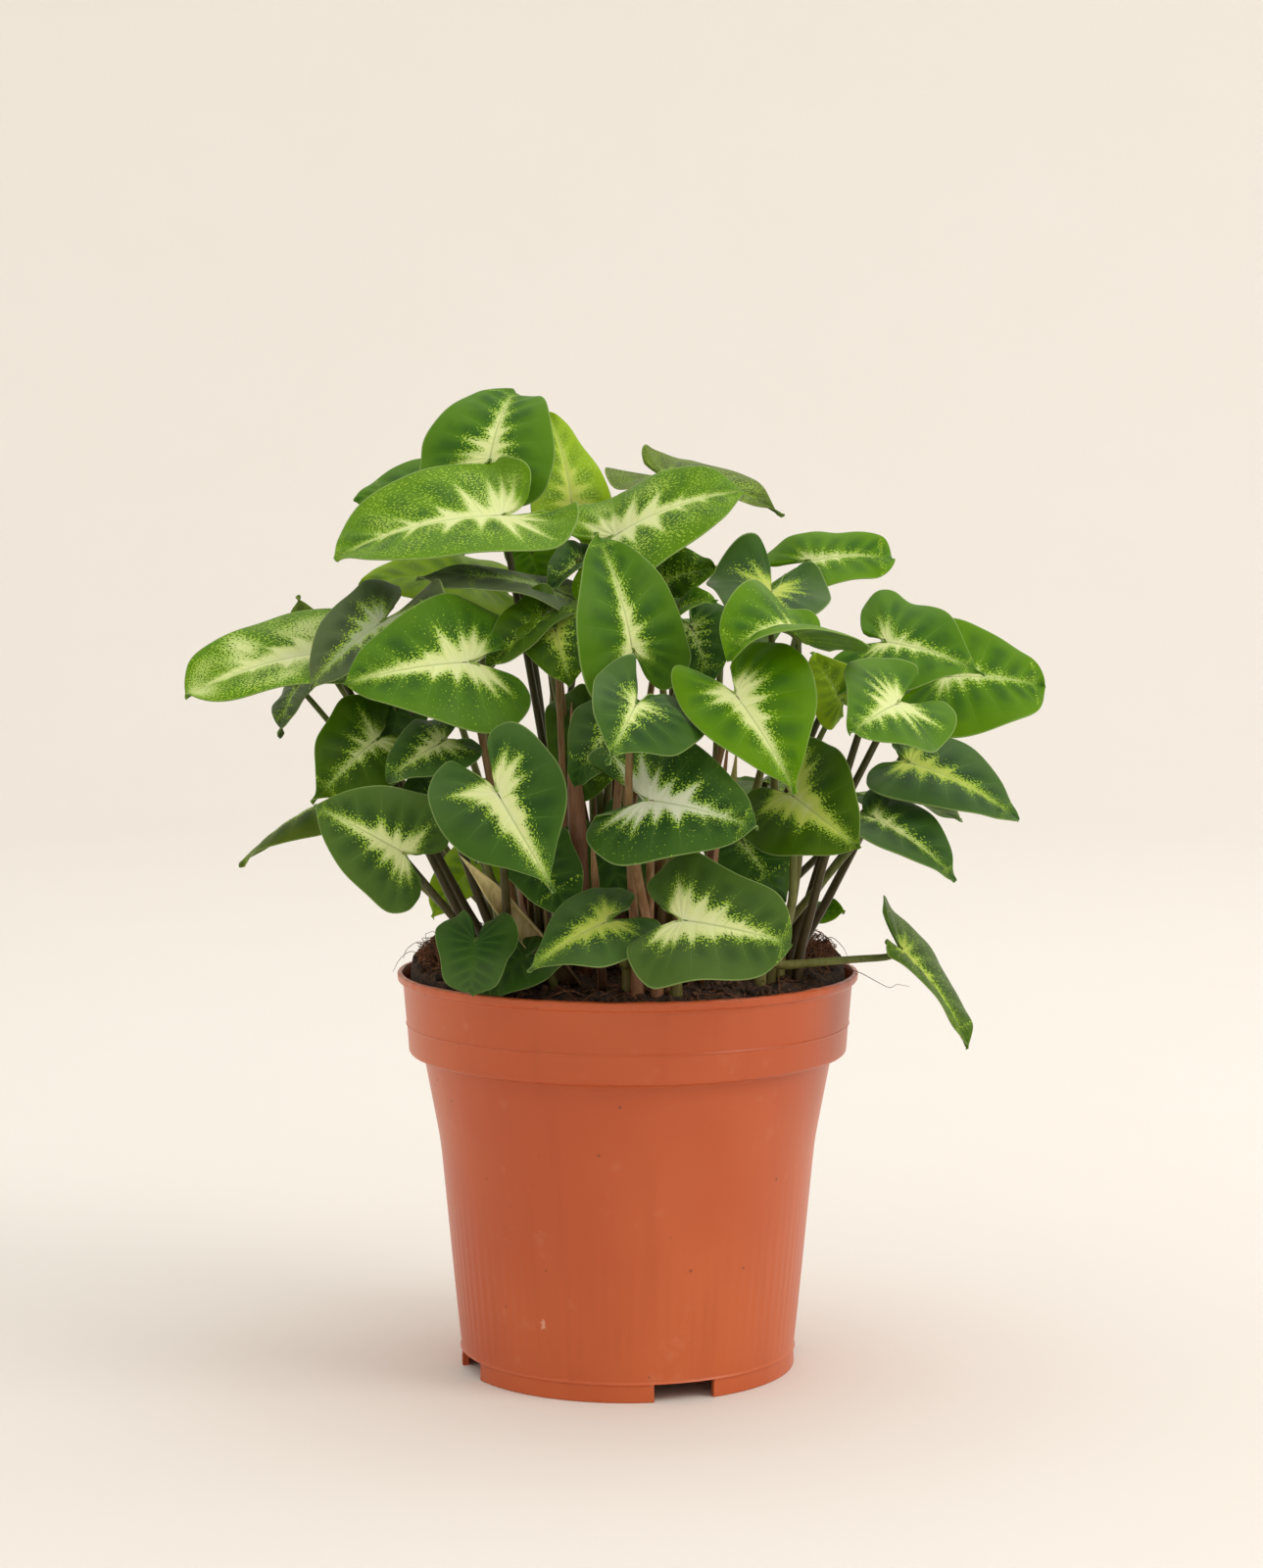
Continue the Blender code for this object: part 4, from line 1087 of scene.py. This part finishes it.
def stalk_knots(node):
    """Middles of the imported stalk's rings of four corners, from its foot up to the blade.

    Corners of the mesh that agree within a hundredth of a millimetre count as one.
    """
    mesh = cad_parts[node].data
    places, ids = {}, []
    for vertex in mesh.vertices:
        key = tuple(round(v * 1e5) for v in vertex.co)
        ids.append(places.setdefault(key, len(places)))
    spots = np.array(list(places)) / 100.0
    near = [set() for _ in spots]
    for edge in mesh.edges:
        a, b = (ids[v] for v in edge.vertices)
        near[a].add(b)
        near[b].add(a)
    ring = {n for n, (x, y, z) in enumerate(spots)
            if abs(z - STALK_FOOT) < 0.02 and math.hypot(x, y) < STALKS_WITHIN}
    seen, knots = set(ring), []
    while len(ring) == 4:
        knots.append(spots[list(ring)].mean(axis=0))
        ring = set().union(*[near[n] for n in ring]) - seen
        seen |= ring
    return knots


def grown_stalk(leaf, bend, knots):
    """Points, faces and colours of a stalk, flared at its foot and run out under the midrib."""
    none = np.zeros(len(RUN_OUT))
    spots, facing = bend.at(np.array(RUN_OUT), none, none, none)
    thick = 1.0 if bend.length > LARGE_BLADE else SMALL_BLADE_STALK
    drops = (thick * 0.9 - 0.15, thick * 0.55, 0.35)
    path = smooth_path(knots + [spots[n] - facing[n] * drops[n] for n in range(len(drops))])
    joint = len(path) - 1 - RUN_OUT_STEPS
    radii, tints = [], []
    for k in range(len(path)):
        share = min(1, k / joint)
        width = between((STALK_FOOT_RADIUS, thick * STALK_TOP_RADIUS), share)
        width *= 1 + FLARES[leaf.stalk] * math.exp(-k / joint / FLARE_SHARE)
        width *= 1 - 0.8 * max(0, k - joint) / RUN_OUT_STEPS
        radii.append(width)
        tints += [between(STALKS[leaf.stalk], share ** 0.7)] * STALK_SIDES
    points, faces = rod(path, radii, STALK_SIDES)
    return points, faces, tints


def grow_leaf(leaf, knots, draw):
    """Make a leaf's whole piece: its blade, and its stalk along the knots."""
    bend = Bend(leaf)
    spots, grid = blade_grid(leaf)
    blade_points, blade_faces, marks, facing = grown_blade(leaf, bend, spots, grid)
    pale = star(leaf, spots, bend.length, draw)
    stalk_points, stalk_faces, stalk_tints = grown_stalk(leaf, bend, knots)
    green = np.array(GREENS[leaf.green])
    shift = 1 + GREEN_VARIES * (draw.random() - 0.5)
    # Leaves of these greens are painted greyer where they face up, a painted sheen of the bright light
    # above.
    painted_sheen = np.zeros((len(spots), 1))
    if leaf.green in SHEEN_GREENS:
        painted_sheen = 0.3 * np.clip(facing[:, 2:3] * 2.2 - 1.2, 0, 1) ** 2
    tints = list(green * (shift, shift, shift, 1) * (1 - painted_sheen) + np.array(SHEEN_GREY) * painted_sheen)
    tints += [0.5 * green + 0.5 * np.array(UNDER_GREEN)] * len(spots) + stalk_tints
    points, faces = [], []
    gather(points, faces, blade_points, blade_faces)
    gather(points, faces, stalk_points, stalk_faces)
    piece = new_piece("grown_" + leaf.name, points, faces, [blade_finish, stalk_finish])
    off_midrib = np.abs(spots[:, 1]) * bend.length
    stalk_part = np.ones(len(stalk_points))
    point_layer(piece, "tint", tints)
    point_layer(piece, "pale_tint", [PALES[leaf.pale]] * len(points))
    point_layer(piece, "pale", np.concatenate([pale, pale * 0.5 - 0.3, stalk_part * -1]))
    point_layer(piece, "off_midrib", np.concatenate([off_midrib, off_midrib, stalk_part * 9]))
    marks = np.vstack([marks, np.zeros((sum(len(face) for face in stalk_faces), 4))])
    for name, columns, scale in (("grain", (0, 1), MM), ("veins", (2, 3), 1)):
        uv = piece.data.uv_layers.new(name=name)
        uv.data.foreach_set("uv", (marks[:, columns] * scale).astype(np.float32).ravel())
    kinds = [0] * len(blade_faces) + [1] * len(stalk_faces)
    piece.data.polygons.foreach_set("material_index", kinds)
    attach(piece, "root")
    return piece


for number, leaf in enumerate(LEAVES):
    knots = stalk_knots("leaf_" + leaf.name)[:STALK_KNOTS]
    piece = grow_leaf(leaf, knots, np.random.default_rng(100 + number))
    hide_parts("leaf_" + leaf.name)


# Small young leaves fill the clump between the grown ones. Each stands in the soil on a stalk
# of its own, and the last value of a row is the stalk's foot.
YOUNG_LEAVES = [
    (Leaf("young_top_left", (-25, 4, 212), (-21, 0, 202), (-3, -6, 6), width=0.62, green="bright"),
     (-14, 12, 104)),
    (Leaf("young_top_mid", (-12, -10, 209), (-20, -19, 202), (-1, -6, 7), width=0.5, fold=(40, 40),
          green="dark", star=(1.0, 0.6, 0.3)),
     (-8, 6, 104)),
    (Leaf("young_right", (12, -26, 197), (22, -36, 200), (1, -7, 6), width=0.4, fold=(25, 25),
          pale="yellow", star=(0.8, 0.8, 0.2)),
     (10, -4, 104)),
    (Leaf("young_far_right", (54, -20, 175), (46, -26, 187), (-2, -8, 3), width=0.5, green="yellow",
          star=(0.6, 0.6, 0.2)),
     (34, 2, 104)),
    (Leaf("young_left", (-58, -20, 173), (-60, -27, 157), (-2, -8, 4), width=0.5, green="dark"),
     (-30, -6, 104)),
    (Leaf("young_rolled", (-22, -28, 195), (-35, -34, 182), (-3, -8, 2), width=0.42, fold=(45, 20),
          green="deep", pale="yellow", star=(0.9, 0.8, 0.2)),
     (-10, -4, 104)),
    (Leaf("young_soil", (-25, -43, 112), (-37, -46, 102), (-1, -6, 7), width=0.55, green="dark"),
     (-17, -36, 102)),
    (Leaf("young_heart_back", (-8, -18, 168), (-13, -24, 148), (-1, -9, 4), width=0.6, green="deep",
          star=(1.2, 0.6, 0.3)),
     (-6, -8, 104)),
    (Leaf("young_low_mid", (-6, -24, 140), (0, -30, 122), (1, -9, 4), width=0.6, green="dark"),
     (0, -14, 104)),
]
YOUNG_FOOT_SUNK = 5
YOUNG_STALK_SHARES = ((0.2, 0.2, 0.35), (0.6, 0.6, 0.75))
for number, (leaf, foot) in enumerate(YOUNG_LEAVES):
    foot = np.array(foot, float)
    knots = [foot - (0, 0, YOUNG_FOOT_SUNK)]
    knots += [foot + (leaf.joint - foot) * share for share in YOUNG_STALK_SHARES]
    grow_leaf(leaf, knots, np.random.default_rng(300 + number))


# Papery sheaths wrap the stalks' feet. Each is an open half tube that stands in the soil and
# ends in a point, left by an older leaf or round a new one.
SHEATHS = 26
SHEATH_MIDDLE = (1, -14)
SHEATH_SPREAD = (15, 13)
SHEATH_TALL = (22, 76)
SHEATH_RADIUS = (1.7, 2.9)
SHEATH_THICK = 0.3
SHEATH_HALF_OPEN_DEG = 115
SHEATH_REACH = 38
SHEATH_ROWS = 12
SHEATH_COLUMNS = 9
SHEATH_SUNK = 3
SHEATH_LEAN = (0.006, 0.005)
SHEATH_SWAY = 0.05
SHEATH_FOOT_TINT = colour(104, 68, 48)
SHEATH_TINTS = [colour(168, 130, 100), colour(128, 92, 66), colour(146, 138, 82)]
LOOSE_SHEATHS = [
    # foot on the soil, top, radius, colour: the wide ones that show at the left and the middle
    ((-13, -35), (-41, -49, 138), 3.0, colour(196, 184, 132)),
    ((-6, -40), (-9, -46, 146), 1.15, colour(146, 118, 84)),
    ((14, -36), (13, -42, 141), 1.25, colour(132, 106, 72)),
]
draw = np.random.default_rng(21)
stands = []
for number in range(SHEATHS):
    x, y = np.array(SHEATH_MIDDLE) + np.array(SHEATH_SPREAD) * draw.standard_normal(2)
    pull = min(1, SHEATH_REACH / math.hypot(x, y))
    x, y = x * pull, y * pull
    tall = between(SHEATH_TALL, draw.random() ** 1.5)
    wide = between(SHEATH_RADIUS, draw.random())
    foot = np.array((x, y, ground(x, y) - SHEATH_SUNK))
    sway = SHEATH_SWAY * draw.standard_normal()
    lean = np.array((x * SHEATH_LEAN[0] + sway, y * SHEATH_LEAN[1], 1))
    tint = SHEATH_TINTS[number % len(SHEATH_TINTS)]
    stands.append((foot, foot + lean * tall, wide, tint, draw.random() * 2 * math.pi))
for (x, y), top, wide, tint in LOOSE_SHEATHS:
    foot = np.array((x, y, ground(x, y) - SHEATH_SUNK))
    stands.append((foot, np.array(top), wide, tint, 0.5 * math.pi))
points, faces, tints = [], [], []
for foot, top, wide, tint, way in stands:
    shares = np.linspace(0, 1, SHEATH_ROWS)
    path = [foot + (top - foot) * (share, share, share ** 0.9) for share in shares]
    outlines = []
    for share in shares:
        radius = wide * (1.1 - 0.35 * share) * min(1, (1.02 - share) / 0.35) ** 0.6
        open_half = math.radians(SHEATH_HALF_OPEN_DEG) * min(1, (1.05 - share) / 0.5)
        turns = np.linspace(-open_half, open_half, SHEATH_COLUMNS)
        outlines.append(arc(radius, turns) + arc(radius - SHEATH_THICK, turns[::-1]))
        tone = between((tint, SHEATH_FOOT_TINT), max(0, 1 - share * 1.8))
        tints += [tone * (0.75 + 0.5 * share)] * len(outlines[-1])
    gather(points, faces, *along_path(path, outlines, (math.cos(way), math.sin(way), 0.0)))
sheaths = new_piece("stalk_sheaths", points, faces, [stalk_finish])
point_layer(sheaths, "tint", tints)
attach(sheaths, "root")
